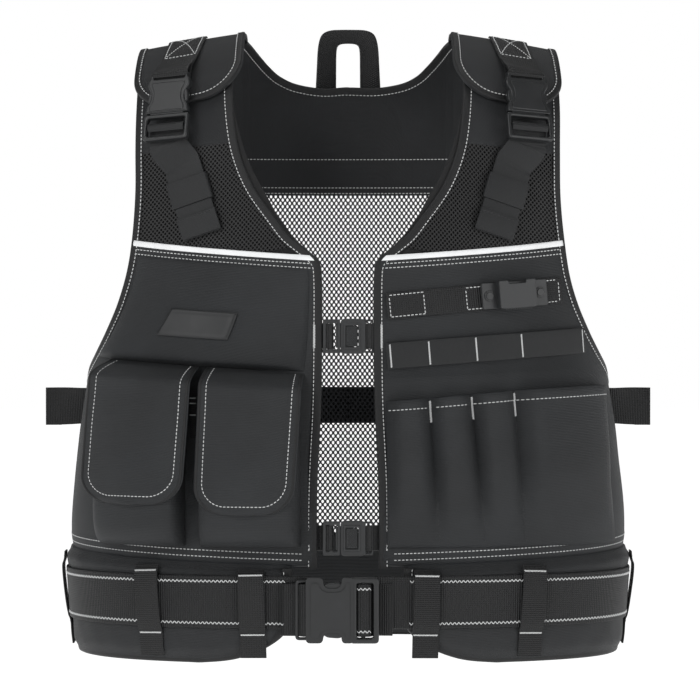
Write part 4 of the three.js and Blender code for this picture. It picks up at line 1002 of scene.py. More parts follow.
half = np.concatenate([np.linspace(pad_end, 40, 24), np.linspace(42, 180, 56)])
angles = np.concatenate([half, 360 - half[-2::-1]])
a, v = np.meshgrid(angles, shares(34))
from_front = np.minimum(a, 360 - a)
z = mix(pad_top(from_front), pad_bottom(from_front) + 3, v)
on = around(a, z)
near_top = ease((pad_top(from_front) - z) / 9)
near_foot = ease((z - pad_bottom(from_front)) / 15)
near_end = ease((from_front - pad_end) * PAD_ARC / 10)
swell = 1.1 * np.sin(np.pi * np.clip((z - pad_bottom(from_front)) / 42, 0, 1)) * near_end
height = mix(5.5, PAD, near_top) * mix(0.62, 1, near_foot) * mix(0.6, 1, near_end) + swell
dimples = 0.35 * np.sin(a * 1.9) * np.sin(z / 7.0 + a / 9)
piece = slab("waist_padding", lift(on, 0.2), lift(on, height + dimples * near_foot), CORDURA_PAD)
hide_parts("waist_pad")


def pad_line():
    turn = np.radians([0, 8, 20, 34, 50, 68, 90])
    out, up = PAD_CORNER * (1 - np.cos(turn)), PAD_CORNER * (1 - np.sin(turn))
    corner = around(pad_end + out / PAD_ARC, -PAD_BOTTOM + up)
    flip = np.array([-1, 1, 1])
    mirrored = (corner[0][::-1] * flip, corner[1][::-1] * flip)
    sweep_at = np.linspace(pad_end + PAD_CORNER / PAD_ARC + 3, 357 - pad_end - PAD_CORNER / PAD_ARC, 70)
    ends = [around(np.array([s * pad_end]), np.array([-WAIST_DROP_CENTRE - 2.0])) for s in (1, -1)]
    return joined(ends[0], corner, around(sweep_at, -PAD_BOTTOM + 0 * sweep_at), mirrored, ends[1])


line = dense(*pad_line(), step=2.5)
rim = [
    (0.1, 0.3), (0, 1.6), (-0.1, 4), (0.1, 6.4), (0.9, 7.9), (2.4, 8.6), (6.5, 8.9), (8.6, 8.8), (9, 8.2),
    (9, 0.6),
]
piece = sweep("waist_padding_binding", line, rim, TAPE)
declare(piece, "waist_pad_binding", (24, 1500))

# Belt webbing, and the loops that hold it
BELT_ENDS = {"right": 34, "left": 26}
angles = np.concatenate([
    [float(angle_of(BELT_ENDS["left"], -BELT_DROP))], np.linspace(pad_end, 360 - pad_end, 150),
    [360 - float(angle_of(BELT_ENDS["right"], -BELT_DROP))],
])
line = dense(*around(angles, -BELT_DROP + 0 * angles), step=3)
piece = sweep("belt_webbing_band", line, tape(BELT_WIDTH, WIDE_WEBBING, BELT_HEIGHT), BELT)
declare(piece, "belt_webbing", (BELT_WIDTH, 1420))

LOOP_WIDTH = 25
LOOP_TAIL = 22
BELT_LOOPS = {
    "left_inner": 12.3, "left_outer": 36.3, "left_side": 88, "right_inner": -15.7, "right_outer": -40.3,
    "right_side": -88, "back": 180,
}


def loop_line(angle):
    """A belt loop's line down the padding, and the height at which it starts."""
    top = float(waist_height(min(1, abs(angle) / SIDE_SEAM_FRONT))) - 5
    return track(around(angle + np.zeros(3), np.array([top, -560, -598])))[0], top


for name, angle in BELT_LOOPS.items():
    where, top = loop_line(angle)
    flat, over = PAD + 1.6, BELT_HEIGHT + WIDE_WEBBING + (1.2 if "side" in name else 3.0)
    foot = top - BELT_FOOT + 6
    rise = top - BELT_TOP
    profile = [(0, flat - 1.5), (max(1.5, rise - 7), flat), (rise - 2, over), (foot - 8, over)]
    profile += [(foot - 2, flat + 0.3), (foot + LOOP_TAIL * 0.5, flat + 0.4), (foot + LOOP_TAIL, flat - 0.6)]
    piece = strap(f"loop_{name}", where, profile, LOOP_WIDTH, WEBBING, WEB)
    declare(piece, f"belt_loop_{name}", (LOOP_WIDTH, foot + LOOP_TAIL + 6))


# Pockets of the wearer's right front
def on_right(share, drop):
    return facing_at(-share * HALF_WIDTH, -drop)


def on_left(share, drop):
    return facing_at(share * HALF_WIDTH, -drop)


POUCH_DEPTH = 26
POUCH_MOUTH_DROP = 336
POUCH_FOOT_DROP = 486
POUCHES = {"outer": (0.565, 0.86), "inner": (0.165, 0.512)}
BOXY = [
    (0, 0), (0.012, 0.3), (0.03, 0.62), (0.07, 0.86), (0.16, 1.0), (0.34, 1.06), (0.66, 1.06), (0.84, 1.0),
    (0.93, 0.86), (0.97, 0.62), (0.988, 0.3), (1, 0),
]
BOXY_DOWN = [(0, 0.8), (0.25, 0.95), (0.6, 1.0), (0.85, 0.97), (0.94, 0.82), (0.985, 0.5), (1.0, 0.12)]
boxy, boxy_down = smooth(BOXY, 1), smooth(BOXY_DOWN, 1)


def crease(u, v):
    """Small folds of a filled pocket, in millimetres."""
    return 0.5 * np.sin(9 * v + 5 * u) * np.sin(np.pi * u) * (1 - v) + 0.35 * np.sin(17 * v - 7 * u + 1)


for name, (start, end) in POUCHES.items():
    near, middle, far = np.linspace(0.012, 0.16, 9), np.linspace(0.2, 0.8, 14), np.linspace(0.84, 0.988, 9)
    across = np.concatenate([[0], near, middle, far, [1]])
    down = np.concatenate([np.linspace(0, 0.85, 30), np.linspace(0.87, 1, 12)])
    u, v = np.meshgrid(across, down)
    rise = boxy(u) * boxy_down(v) * POUCH_DEPTH + crease(u, v) * boxy(u) * 1.2
    on = on_right(mix(start, end, u), mix(POUCH_MOUTH_DROP, POUCH_FOOT_DROP, v))
    inner = on_right(mix(start, end, mix(0.012, 0.988, u)), mix(POUCH_MOUTH_DROP, POUCH_FOOT_DROP, v * 0.985))
    under, upper = lift(inner, ON_PANEL + np.maximum(rise - 2, 0)), lift(on, ON_PANEL + rise + 0.2)
    piece = slab(f"pouch_body_{name}", under, upper, CORDURA)
    declare(piece, f"pouch_{name}", size_of(lift(on, ON_PANEL + rise)))

CHEST_PUFF = 12
CHEST_FOOT = (320, 305)
SOFT = [(0, 0), (0.03, 0.3), (0.09, 0.62), (0.2, 0.88), (0.35, 0.98), (0.5, 1), (0.65, 0.98), (0.8, 0.88),
        (0.91, 0.62), (0.97, 0.3), (1, 0)]
SOFT_DOWN = [(0, 0.05), (0.4, 0.4), (0.75, 0.85), (0.9, 1), (0.965, 0.86), (1, 0.3)]
soft, soft_down = smooth(SOFT, 1), smooth(SOFT_DOWN, 1)


def chest_foot(share):
    return mix(CHEST_FOOT[0], CHEST_FOOT[1], share)


def chest_pocket_at(across, down):
    share = mix(0.03, 0.94, across)
    return front_panel_at(-1, share, mix(seam_height(share) - SEAM_BAND, -chest_foot(share), down))


def chest_rise(u, v):
    return soft(u) * soft_down(v) * CHEST_PUFF


u, v = np.meshgrid(shares(56), np.concatenate([np.linspace(0, 0.88, 26), np.linspace(0.9, 1, 10)]))
folds = 0.7 * np.sin(11 * u + 4 * v) * np.sin(np.pi * v) + 0.4 * np.sin(23 * u - 6 * v)
rise = chest_rise(u, v)
on = chest_pocket_at(u, v)
height = ON_PANEL + rise + folds * soft(u) * 0.6
under = lift(on, np.maximum(height - 2, ON_PANEL - 0.6))
piece = slab("chest_pocket_cloth", under, lift(on, height), CORDURA)
declare(piece, "chest_pocket", size_of(lift(on, height)))

# Bare patch on the chest pocket
PATCH = {"from": 0.28, "to": 0.62, "top": 0.48, "foot": 0.74}
u, v = np.meshgrid(shares(30, PATCH["from"], PATCH["to"]), shares(16, PATCH["top"], PATCH["foot"]))
on = chest_pocket_at(u, v)
s = (u - PATCH["from"]) / (PATCH["to"] - PATCH["from"])
t = (v - PATCH["top"]) / (PATCH["foot"] - PATCH["top"])
rim_at = np.minimum(np.minimum(s, 1 - s) * 62, np.minimum(t, 1 - t) * 27)
border = 0.55 * ease((3.0 - rim_at) / 1.0) * ease(rim_at / 0.5 + 0.4)
height = ON_PANEL + chest_rise(u, v) + 0.9
piece = slab("bare_patch", lift(on, height), lift(on, height + 1.0 + border), RUBBER)
declare(piece, "chest_patch", size_of(on[0]))

# Flaps over the pouches
FLAPS = {
    "outer": {"top": (0.515, 0.825), "foot": (0.55, 0.87), "drop": 447},
    "inner": {"top": (0.155, 0.485), "foot": (0.185, 0.508), "drop": 455},
}
POUCH_FLAP_CORNER = 26
FLAP_CLEAR = 3.2


def pouch_flap_at(flap, u, v, inset_by=0.0):
    """A place on a pouch's flap, from the shares across and down it, and its height over the form."""
    top, foot, foot_drop = flap["top"], flap["foot"], flap["drop"] - inset_by
    top_drop = chest_foot((mix(top[0], top[1], u) - 0.155) / 0.73) + 3
    drop = mix(top_drop, foot_drop, v)
    corner = POUCH_FLAP_CORNER - inset_by * 0.6
    inset = (corner_inset((1 - v) * (foot_drop - top_drop), corner) + inset_by) / HALF_WIDTH
    near, far = mix(top[0], foot[0], v), mix(top[1], foot[1], v)
    crown = 0.88 + 0.2 * np.sin(np.pi * u)
    hinge = np.sin(np.minimum(v / 0.14, 1) * math.pi / 2)
    height = ON_PANEL + GAP + hinge * (POUCH_DEPTH * crown + FLAP_CLEAR)
    return on_right(mix(near + inset, far - inset, u), drop), height


def pouch_flap_rim(flap, inset_by=0.0, count=40):
    """Shares along the flap's edge: down one side, round the foot and up the other."""
    side_v = np.linspace(0.0, 0.86, count)
    turn_v = 0.86 + 0.139 * np.sin(np.linspace(0, math.pi / 2, 24)[1:])
    v = np.concatenate([side_v, turn_v])
    v = np.concatenate([v, v[::-1]])
    u = np.concatenate([np.zeros(len(v) // 2), np.ones(len(v) // 2)])
    on, height = pouch_flap_at(flap, u, v, inset_by)
    return on, height


for name, flap in FLAPS.items():
    rows = np.concatenate([np.linspace(0, 0.3, 18), np.linspace(0.33, 0.8, 18), np.linspace(0.82, 0.999, 20)])
    u, v = np.meshgrid(shares(34), rows)
    on, height = pouch_flap_at(flap, u, v)
    folds = 0.5 * np.sin(7 * v + 4 * u) * np.sin(np.pi * u) + 0.25 * np.sin(15 * v - 6 * u)
    edge = np.minimum(np.minimum(u, 1 - u) * 90, (1 - v) * 130)
    folds = folds * ease(edge / 14) - 0.5 * ease(1 - np.abs(edge - 7) / 2.2)
    piece = slab(f"pouch_cover_{name}", lift(on, height), lift(on, height + 2.4 + folds), CORDURA)
    declare(piece, f"pouch_flap_{name}", size_of(lift(on, height)))
    on, height = pouch_flap_rim(flap)
    rim = (on[0] + on[1] * height[:, None], on[1])
    thin = edge_tape(3.0, 3.3, -1, -0.2)
    piece = sweep(f"pouch_cover_edge_{name}", dense(*rim, step=2), thin, TAPE)
    as_sheet(piece, (7.0, 330))

PEN_SHARE = 0.5385
pen = on_right(PEN_SHARE + np.zeros(3), np.array([338, 360, 384.0]))
piece = sweep("pen_loop", dense(*pen, step=2), tape(7, WEBBING, OVER_CLOTH), WEB)
declare(piece, "pen_webbing", (7, 46))

# Webbing rows and the tool pocket of the wearer's left front
ROWS = {
    "accessory_webbing": {"from": 0.135, "to": 0.745, "drops": (259, 242.5)},
    "loop_webbing": {"from": 0.135, "to": 0.83, "drops": (306, 291)},
}


def row_at(row, share):
    return on_left(mix(row["from"], row["to"], share), mix(row["drops"][0], row["drops"][1], share))


def span_share(row, share_of_width):
    return (share_of_width - row["from"]) / (row["to"] - row["from"])


TACKS = (0.272, 0.425, 0.578)
for name, row in ROWS.items():
    t = shares(90)
    on = row_at(row, t)
    stand = np.zeros(len(t))
    if name == "loop_webbing":
        for start, end in zip((row["from"], *TACKS), (*TACKS, row["to"])):
            a, b = span_share(row, start), span_share(row, end)
            bow = 1.9 * np.sin(np.pi * np.clip((t - a) / (b - a), 0, 1)) ** 0.7
            stand = stand + np.where((t >= a) & (t <= b), bow, 0)
    lifted = (on[0] + on[1] * stand[:, None], on[1])
    web = SMOOTH_WEB if name == "loop_webbing" else BELT
    piece = sweep(f"row_{name}", dense(*lifted, step=2), tape(25, WEBBING, ON_PANEL), web)
    declare(piece, name, (25, 175))

TOOL_DEPTH = 14
TOOL_FOOT_DROP = 486
TOOL_RUN = 138
HEM = 7
TOOL_DIVIDERS = [
    (0.135, 0.14, 350), (0.282, 0.318, 347), (0.425, 0.476, 343.5), (0.572, 0.618, 340), (0.9, 0.94, 336),
]


def tool_at(cell, across, down):
    before, after = TOOL_DIVIDERS[cell], TOOL_DIVIDERS[cell + 1]
    mouth = mix(before[2], after[2], across)
    sideways = mix(mix(before[0], before[1], down), mix(after[0], after[1], down), across)
    return sideways, mix(mouth, TOOL_FOOT_DROP, down)


TUBE = [
    (0, 0), (0.05, 0.16), (0.12, 0.5), (0.24, 0.86), (0.38, 0.98), (0.5, 1), (0.62, 0.98), (0.76, 0.86),
    (0.88, 0.5), (0.95, 0.16), (1, 0),
]
tube = smooth(TUBE, 1)
WIDE_TUBE = [
    (0, 0), (0.03, 0.1), (0.09, 0.45), (0.17, 0.85), (0.28, 1.0), (0.5, 0.96), (0.75, 0.86), (0.9, 0.66),
    (0.97, 0.3), (1, 0),
]
wide_tube = smooth(WIDE_TUBE, 1)


def tool_rise(cell, across, down):
    shape = wide_tube(across) * 1.1 if cell == 3 else tube(across)
    fall = mix(1.0, 0.0, ease((down - 0.35) / 0.65)) ** 0.75
    return shape * fall * TOOL_DEPTH


columns, heights = [], []
HEM_SHARE = HEM / TOOL_RUN
down = np.concatenate([[0, 0.02, HEM_SHARE - 0.008, HEM_SHARE, HEM_SHARE + 0.006], np.linspace(0.07, 1, 44)])
for cell in range(4):
    count = 26 if cell == 3 else 18
    across = shares(count)[0 if cell == 0 else 1:]
    u, v = np.meshgrid(across, down)
    sideways, drop = tool_at(cell, u, v)
    columns.append(np.stack([sideways, drop], -1))
    bend = 0.25 * np.sin(21 * v + 3 * cell) * np.sin(np.pi * u)
    heights.append(tool_rise(cell, u, v) + bend)
flat, height = np.concatenate(columns, 1), np.concatenate(heights, 1)
on = on_left(flat[..., 0], flat[..., 1])
hem = 0.8 * ease((HEM_SHARE + 0.004 - down) / 0.006)[:, None]
under, upper = lift(on, ON_PANEL + height), lift(on, ON_PANEL + height + 2 + hem)
piece = slab("tool_pocket_cloth", under, upper, CORDURA)
declare(piece, "tool_pocket", size_of(lift(on, height)))


# Buckles and other moulded parts: plates cut from outlines, in a frame of their own
def fillet(corners, steps=5):
    """A closed outline from (x, y, radius) corners."""
    out = []
    count = len(corners)
    for k in range(count):
        x, y, radius = corners[k]
        here = np.array([x, y], float)
        to_before = np.array(corners[k - 1][:2], float) - here
        to_after = np.array(corners[(k + 1) % count][:2], float) - here
        reach = min(radius, np.linalg.norm(to_before) * 0.49, np.linalg.norm(to_after) * 0.49)
        if reach < 0.05:
            out.append(here)
            continue
        start = here + to_before / np.linalg.norm(to_before) * reach
        end = here + to_after / np.linalg.norm(to_after) * reach
        for t in np.linspace(0, 1, steps):
            out.append(start * (1 - t) ** 2 + 2 * here * t * (1 - t) + end * t * t)
    return np.array(out)


def plate(outlines, low, high, bevel=0.8, smoothness=2):
    """Points and faces of a flat plate with rounded edges: a border outline, then those of its holes."""
    curve = bpy.data.curves.new("plate", "CURVE")
    curve.dimensions = "2D"
    curve.fill_mode = "BOTH"
    for outline in outlines:
        spline = curve.splines.new("POLY")
        spline.points.add(len(outline) - 1)
        for point, (x, y) in zip(spline.points, outline):
            point.co = (x, y, 0, 1)
        spline.use_cyclic_u = True
    curve.extrude = (high - low) / 2 - bevel
    curve.bevel_depth = bevel
    curve.bevel_resolution = smoothness
    curve.offset = -bevel
    holder = placed("plate", curve)
    bpy.context.view_layer.update()
    mesh = holder.to_mesh()
    points = np.array([v.co for v in mesh.vertices]) + np.array([0, 0, (low + high) / 2])
    faces = [list(f.vertices) for f in mesh.polygons]
    holder.to_mesh_clear()
    bpy.data.objects.remove(holder)
    bpy.data.curves.remove(curve)
    return points, faces


def together(*parts):
    points, faces, base = [], [], 0
    for p, f in parts:
        points.append(p)
        faces += [[k + base for k in face] for face in f]
        base += len(p)
    return np.concatenate(points), faces


def moved(part, place):
    """A part set in the frame (origin, right, up, out)."""
    origin, right, up, out = place
    p, f = part
    return origin + p[:, :1] * right + p[:, 1:2] * up + p[:, 2:3] * out, f


def box_outline(x0, x1, y0, y1, radius=1.0, steps=5):
    return fillet([(x0, y0, radius), (x1, y0, radius), (x1, y1, radius), (x0, y1, radius)], steps)


def boxed(boxes, low, high, bevel, smoothness):
    """A plate whose border and holes are boxes of (x0, x1, y0, y1, radius)."""
    return plate([box_outline(*box) for box in boxes], low, high, bevel, smoothness)


def rod(x0, y0, x1, y1, radius, z=0.0, sides=10):
    """A round bar between two places in its frame."""
    start, end = np.array([x0, y0, z], float), np.array([x1, y1, z], float)
    along = unit(end - start)
    side = unit(np.cross(along, [0, 0, 1.0]))
    turn = np.linspace(0, 2 * math.pi, sides, endpoint=False)
    ring = radius * (np.cos(turn)[:, None] * side + np.sin(turn)[:, None] * np.array([0, 0, 1.0]))
    points = np.concatenate([start + ring, end + ring])
    faces = [[k, (k + 1) % sides, sides + (k + 1) % sides, sides + k] for k in range(sides)]
    faces += [list(range(sides))[::-1], list(range(sides, 2 * sides))]
    return points, faces


def mirrored_y(corners):
    """The corners, and their mirror images below the X axis."""
    return corners + [(x, -y, r) for x, y, r in reversed(corners)]


def mirrored_x(shape):
    """An outline from the (y, x, radius) corners of its right side, and their mirror images."""
    return fillet([(x, y, r) for y, x, r in shape] + [(-x, y, r) for y, x, r in reversed(shape)])


def moulded_piece(name, place, nodes, parts, material=PLASTIC):
    points, faces = moved(together(*parts), place)
    piece = make(name, points, faces, material, sharp=40)
    if nodes:
        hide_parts(*nodes)
    return piece


RIGHT, UP = np.array([1.0, 0, 0]), np.array([0, 0, 1.0])


def threaded(frame_length, rail, radius, start, low):
    """A strap's profile up through a buckle's frame and over its middle bar."""
    bar = -frame_length / 2
    over = arc(bar, 0, radius, -60, 90, 5)
    end = (bar - radius - 1, radius * 0.3)
    return [*start, (-frame_length + rail + 0.5, low), (bar, -radius), *over, end]


def looped(socket, rail, radius, start, low, thickness):
    """A strap's profile round the far bar of a buckle's socket and back over itself."""
    bar = socket - rail * 0.45
    lying = low + thickness + GAP
    back = [(bar + radius + 1, radius * 0.45), (bar + 2.6 * radius, lying + 0.4), (bar + 24, lying)]
    return [*start, (bar + 2.1 * radius, low), (bar, -radius), *arc(bar, 0, radius, 240, 90, 5), *back]


def webbed(name, where, profile, width, material, thickness=WEBBING, times=2):
    return strap(name, where, profile, width, thickness, material, True, times)


def straight(origin, forward, out):
    """A straight line for a strap, in a buckle's frame."""
    across = unit(np.cross(out, forward))

    def where(s):
        s = np.asarray(s, float)
        one = np.ones(s.shape + (1,))
        return origin + forward * s[..., None], out * one, across * one

    return where


# Belt buckle
BELT_THICK = 13
BUCKLE_SAG = 6
centre, facing = facing_at(np.array([0.0]), np.array([-BELT_DROP - BUCKLE_SAG]))
belt_lift = BELT_HEIGHT + WIDE_WEBBING + GAP + BELT_THICK / 2
out = unit(facing[0] * np.array([1, 1, 0]))
belt_place = (centre[0] + facing[0] * belt_lift, RIGHT, UP, out)
socket_shape = mirrored_y([
    (-37.5, 24, 3), (-37.5, 28.6, 3), (-25.5, 28.6, 2), (-24.6, 22.5, 3), (-20, 18.6, 4), (-9, 18.6, 4),
    (-4.4, 22.5, 3), (-3.6, 28.6, 1.5), (3.2, 28.6, 1.5),
])
crown_shape = mirrored_y([
    (-33.5, 14, 2), (-33.5, 24.5, 3), (-28.5, 24.5, 2), (-27.5, 20.5, 3), (-22, 15.8, 4), (-7, 15.8, 4),
    (-1.4, 20.5, 3), (-0.4, 24.8, 1.5), (0.6, 24.8, 0.8),
])
prong = [fillet([(-26, 15.5, 2), (-22, 25.4, 5), (-7, 26.4, 6), (-1.5, 22, 2), (-1.5, 14, 1)])]
prongs = [prong, [prong[0] * np.array([1, -1])]]
belt_socket = [
    plate([fillet(socket_shape)], -6.2, 5.0, 2.0, 4),
    plate([fillet(crown_shape)], 3.0, 6.2, 1.3, 4),
    boxed([(-49.5, -35.5, -28.4, 28.4, 4), (-46.6, -37.6, -25.6, 25.6, 2)], -5.2, -0.6, 1.1, 3),
    *[plate(p, -3.4, 3.2, 1.3, 3) for p in prongs],
]
moulded_piece("belt_buckle_body", belt_place, ("belt_buckle_socket",), belt_socket)
frame_outer = box_outline(1.5, 29.2, -31, 31, 4)
frame_window = box_outline(8.2, 24.0, -26, 26, 2.5)
belt_frame = [
    plate([frame_outer, frame_window], -5.6, 4.6, 1.6, 4),
    boxed([(-2, 7.4, -24.5, 24.5, 1.2)], -3.5, 3.4, 1.0, 2),
    rod(14.4, -27, 14.4, 27, 2.1, -1.2, 14),
]
moulded_piece("belt_buckle_frame", belt_place, ("belt_buckle_adjuster",), belt_frame)

belt_low = BELT_HEIGHT + WIDE_WEBBING / 2 - belt_lift
leftward = straight(belt_place[0], -RIGHT, out)
profile = [(-BELT_ENDS["left"] - 16, belt_low + 1.6), (-24.5, belt_low), (-23, -2.6), (-21.4, 1.4)]
profile += [(-18, 2.6), (-11.5, 2.6), (-9, 1.2), (-8.2, -2.8)]
piece = webbed("belt_end_left", leftward, profile, BELT_WIDTH - 0.6, BELT, 2.2)
as_sheet(piece, (BELT_WIDTH, 60))
profile = looped(39, 5, 4.1, [(BELT_ENDS["right"] + 30, belt_low - 0.2)], belt_low, WIDE_WEBBING)
piece = webbed("belt_end_right", leftward, profile, BELT_WIDTH - 0.6, BELT, 2.2)
as_sheet(piece, (BELT_WIDTH, 90))

# Chest straps, each behind the bindings and through its own buckle
CHEST_STRAPS = {"upper": (287, 0.3), "lower": (478, 1.2)}
CHEST_JOIN = -8.5
CHEST_REACH = 56
CHEST_THICK = 7


def studs(x0, x1, y0, y1, pitch, size, z):
    """A grid of small raised diamonds."""
    parts = []
    for j, y in enumerate(np.arange(y0 + pitch / 2, y1, pitch / 2)):
        for x in np.arange(x0 + pitch / 2 + (j % 2) * pitch / 2, x1 - pitch * 0.2, pitch):
            base = np.array([(x - size, y, z), (x, y - size, z), (x + size, y, z), (x, y + size, z)])
            top = np.array([x, y, z]) + (base - np.array([x, y, z])) * 0.45 + np.array([0, 0, 0.5])
            faces = [[4, 5, 6, 7]] + [[k, (k + 1) % 4, 4 + (k + 1) % 4, 4 + k] for k in range(4)]
            parts.append((np.concatenate([base, top]), faces))
    return together(*parts)


for level, (drop, tuck) in CHEST_STRAPS.items():
    centre, facing = facing_at(np.array([0.0]), np.array([-float(drop)]))
    origin = centre[0] + facing[0] * (CHEST_THICK / 2 - 1.6)
    origin = np.array([CHEST_JOIN, origin[1], origin[2]])
    out = unit(facing[0] * np.array([1, 1, 0]))
    place = (origin, RIGHT, UP, out)
    ladder = [
        boxed([(-15.2, 1.2, -16.0, 16.0, 1.6), (-12.4, -9.0, -12.6, 12.6, 1),
               (-5.6, -1.4, -12.6, 12.6, 1)], -3.2, 2.2, 0.8, 3),
        boxed([(-3, 14, -11, 11, 1)], -1.2, 1.2, 0.4, 1),
    ]
    moulded_piece(f"{level}_buckle_ladder", place, (f"{level}_buckle_adjuster",), ladder, PLASTIC_GREY)
    shell = fillet(mirrored_y([(1.6, 14.4, 1.6), (4, 16.6, 2), (21, 16.6, 3), (25.4, 15.2, 2.5)]))
    body = [
        plate([shell, box_outline(5.8, 18.8, -10.6, 10.6, 1.2)], -3.3, 2.6, 0.9, 3),
        boxed([(4.2, 20.4, -12.4, 12.4, 1.8), (6.2, 18.4, -10.2, 10.2, 1)], 1.6, 3.6, 0.6, 3),
        boxed([(6.7, 17.9, -9.7, 9.7, 1)], -2.4, 2.0, 0.6, 2),
        studs(7.4, 17.4, -9.0, 9.0, 2.3, 0.95, 1.9),
        boxed([(23.4, 32.6, -15.8, 15.8, 1.6), (25.2, 31, -14, 14, 1)], -3.0, 0.8, 0.7, 2),
    ]
    moulded_piece(f"{level}_buckle_body", place, (f"{level}_buckle_socket",), body, PLASTIC_GREY)
    line_at = straight(origin, RIGHT, out)
    low = -(CHEST_THICK + WEBBING) / 2 - GAP
    start = [(-CHEST_REACH - CHEST_JOIN, low + 0.4 - tuck), (-21, low)]
    piece = webbed(f"{level}_strap_right", line_at, threaded(17, 3, 2.7, start, low), 24, WEB)
    declare(piece, f"{level}_chest_strap_right", (24, 62))
    under = low - WEBBING - 3 * GAP
    reach = CHEST_REACH - CHEST_JOIN
    start = [(reach + 8, low - 0.1 - tuck), (reach, under + 1.2 - tuck / 2), (54, under)]
    piece = webbed(f"{level}_strap_left", line_at, looped(30, 3, 3.0, start, under, WEBBING), 24, WEB)
    declare(piece, f"{level}_chest_strap_left", (24, 90))

# Shoulder straps with their buckles and keepers
SHOULDER_WEBBING = 38
SHOULDER_JOIN = 136
SHOULDER_LIFT = 16.5
SHOULDER_TAIL = 253
SHOULDER_THICK = 9
KEEPER = {"at": 209, "length": 25, "width": 42, "thick": 5.2}
SHOULDER_LINE = np.array([(0, 157), (36, 157), (140, 167), (180, 157), (253, 137)], float)
SHOULDER_PRONG = [(15.5, 9, 1), (20.6, 11, 3), (20.9, 20, 4), (17.5, 27, 2), (14.5, 27, 1)]
FLAP_CLOTH = 3.4


def on_shoulder(side, down, height):
    down = np.asarray(down, float)
    on = draped(side * np.interp(down, SHOULDER_LINE[:, 0], SHOULDER_LINE[:, 1]), down)
    return on[0] + on[1] * height, on[1]


def heading(side, above, below):
    """The direction up the strap's line, from two places along it."""
    ends = on_shoulder(side, np.array([above, below], float), 0)[0]
    return unit(ends[0] - ends[1])


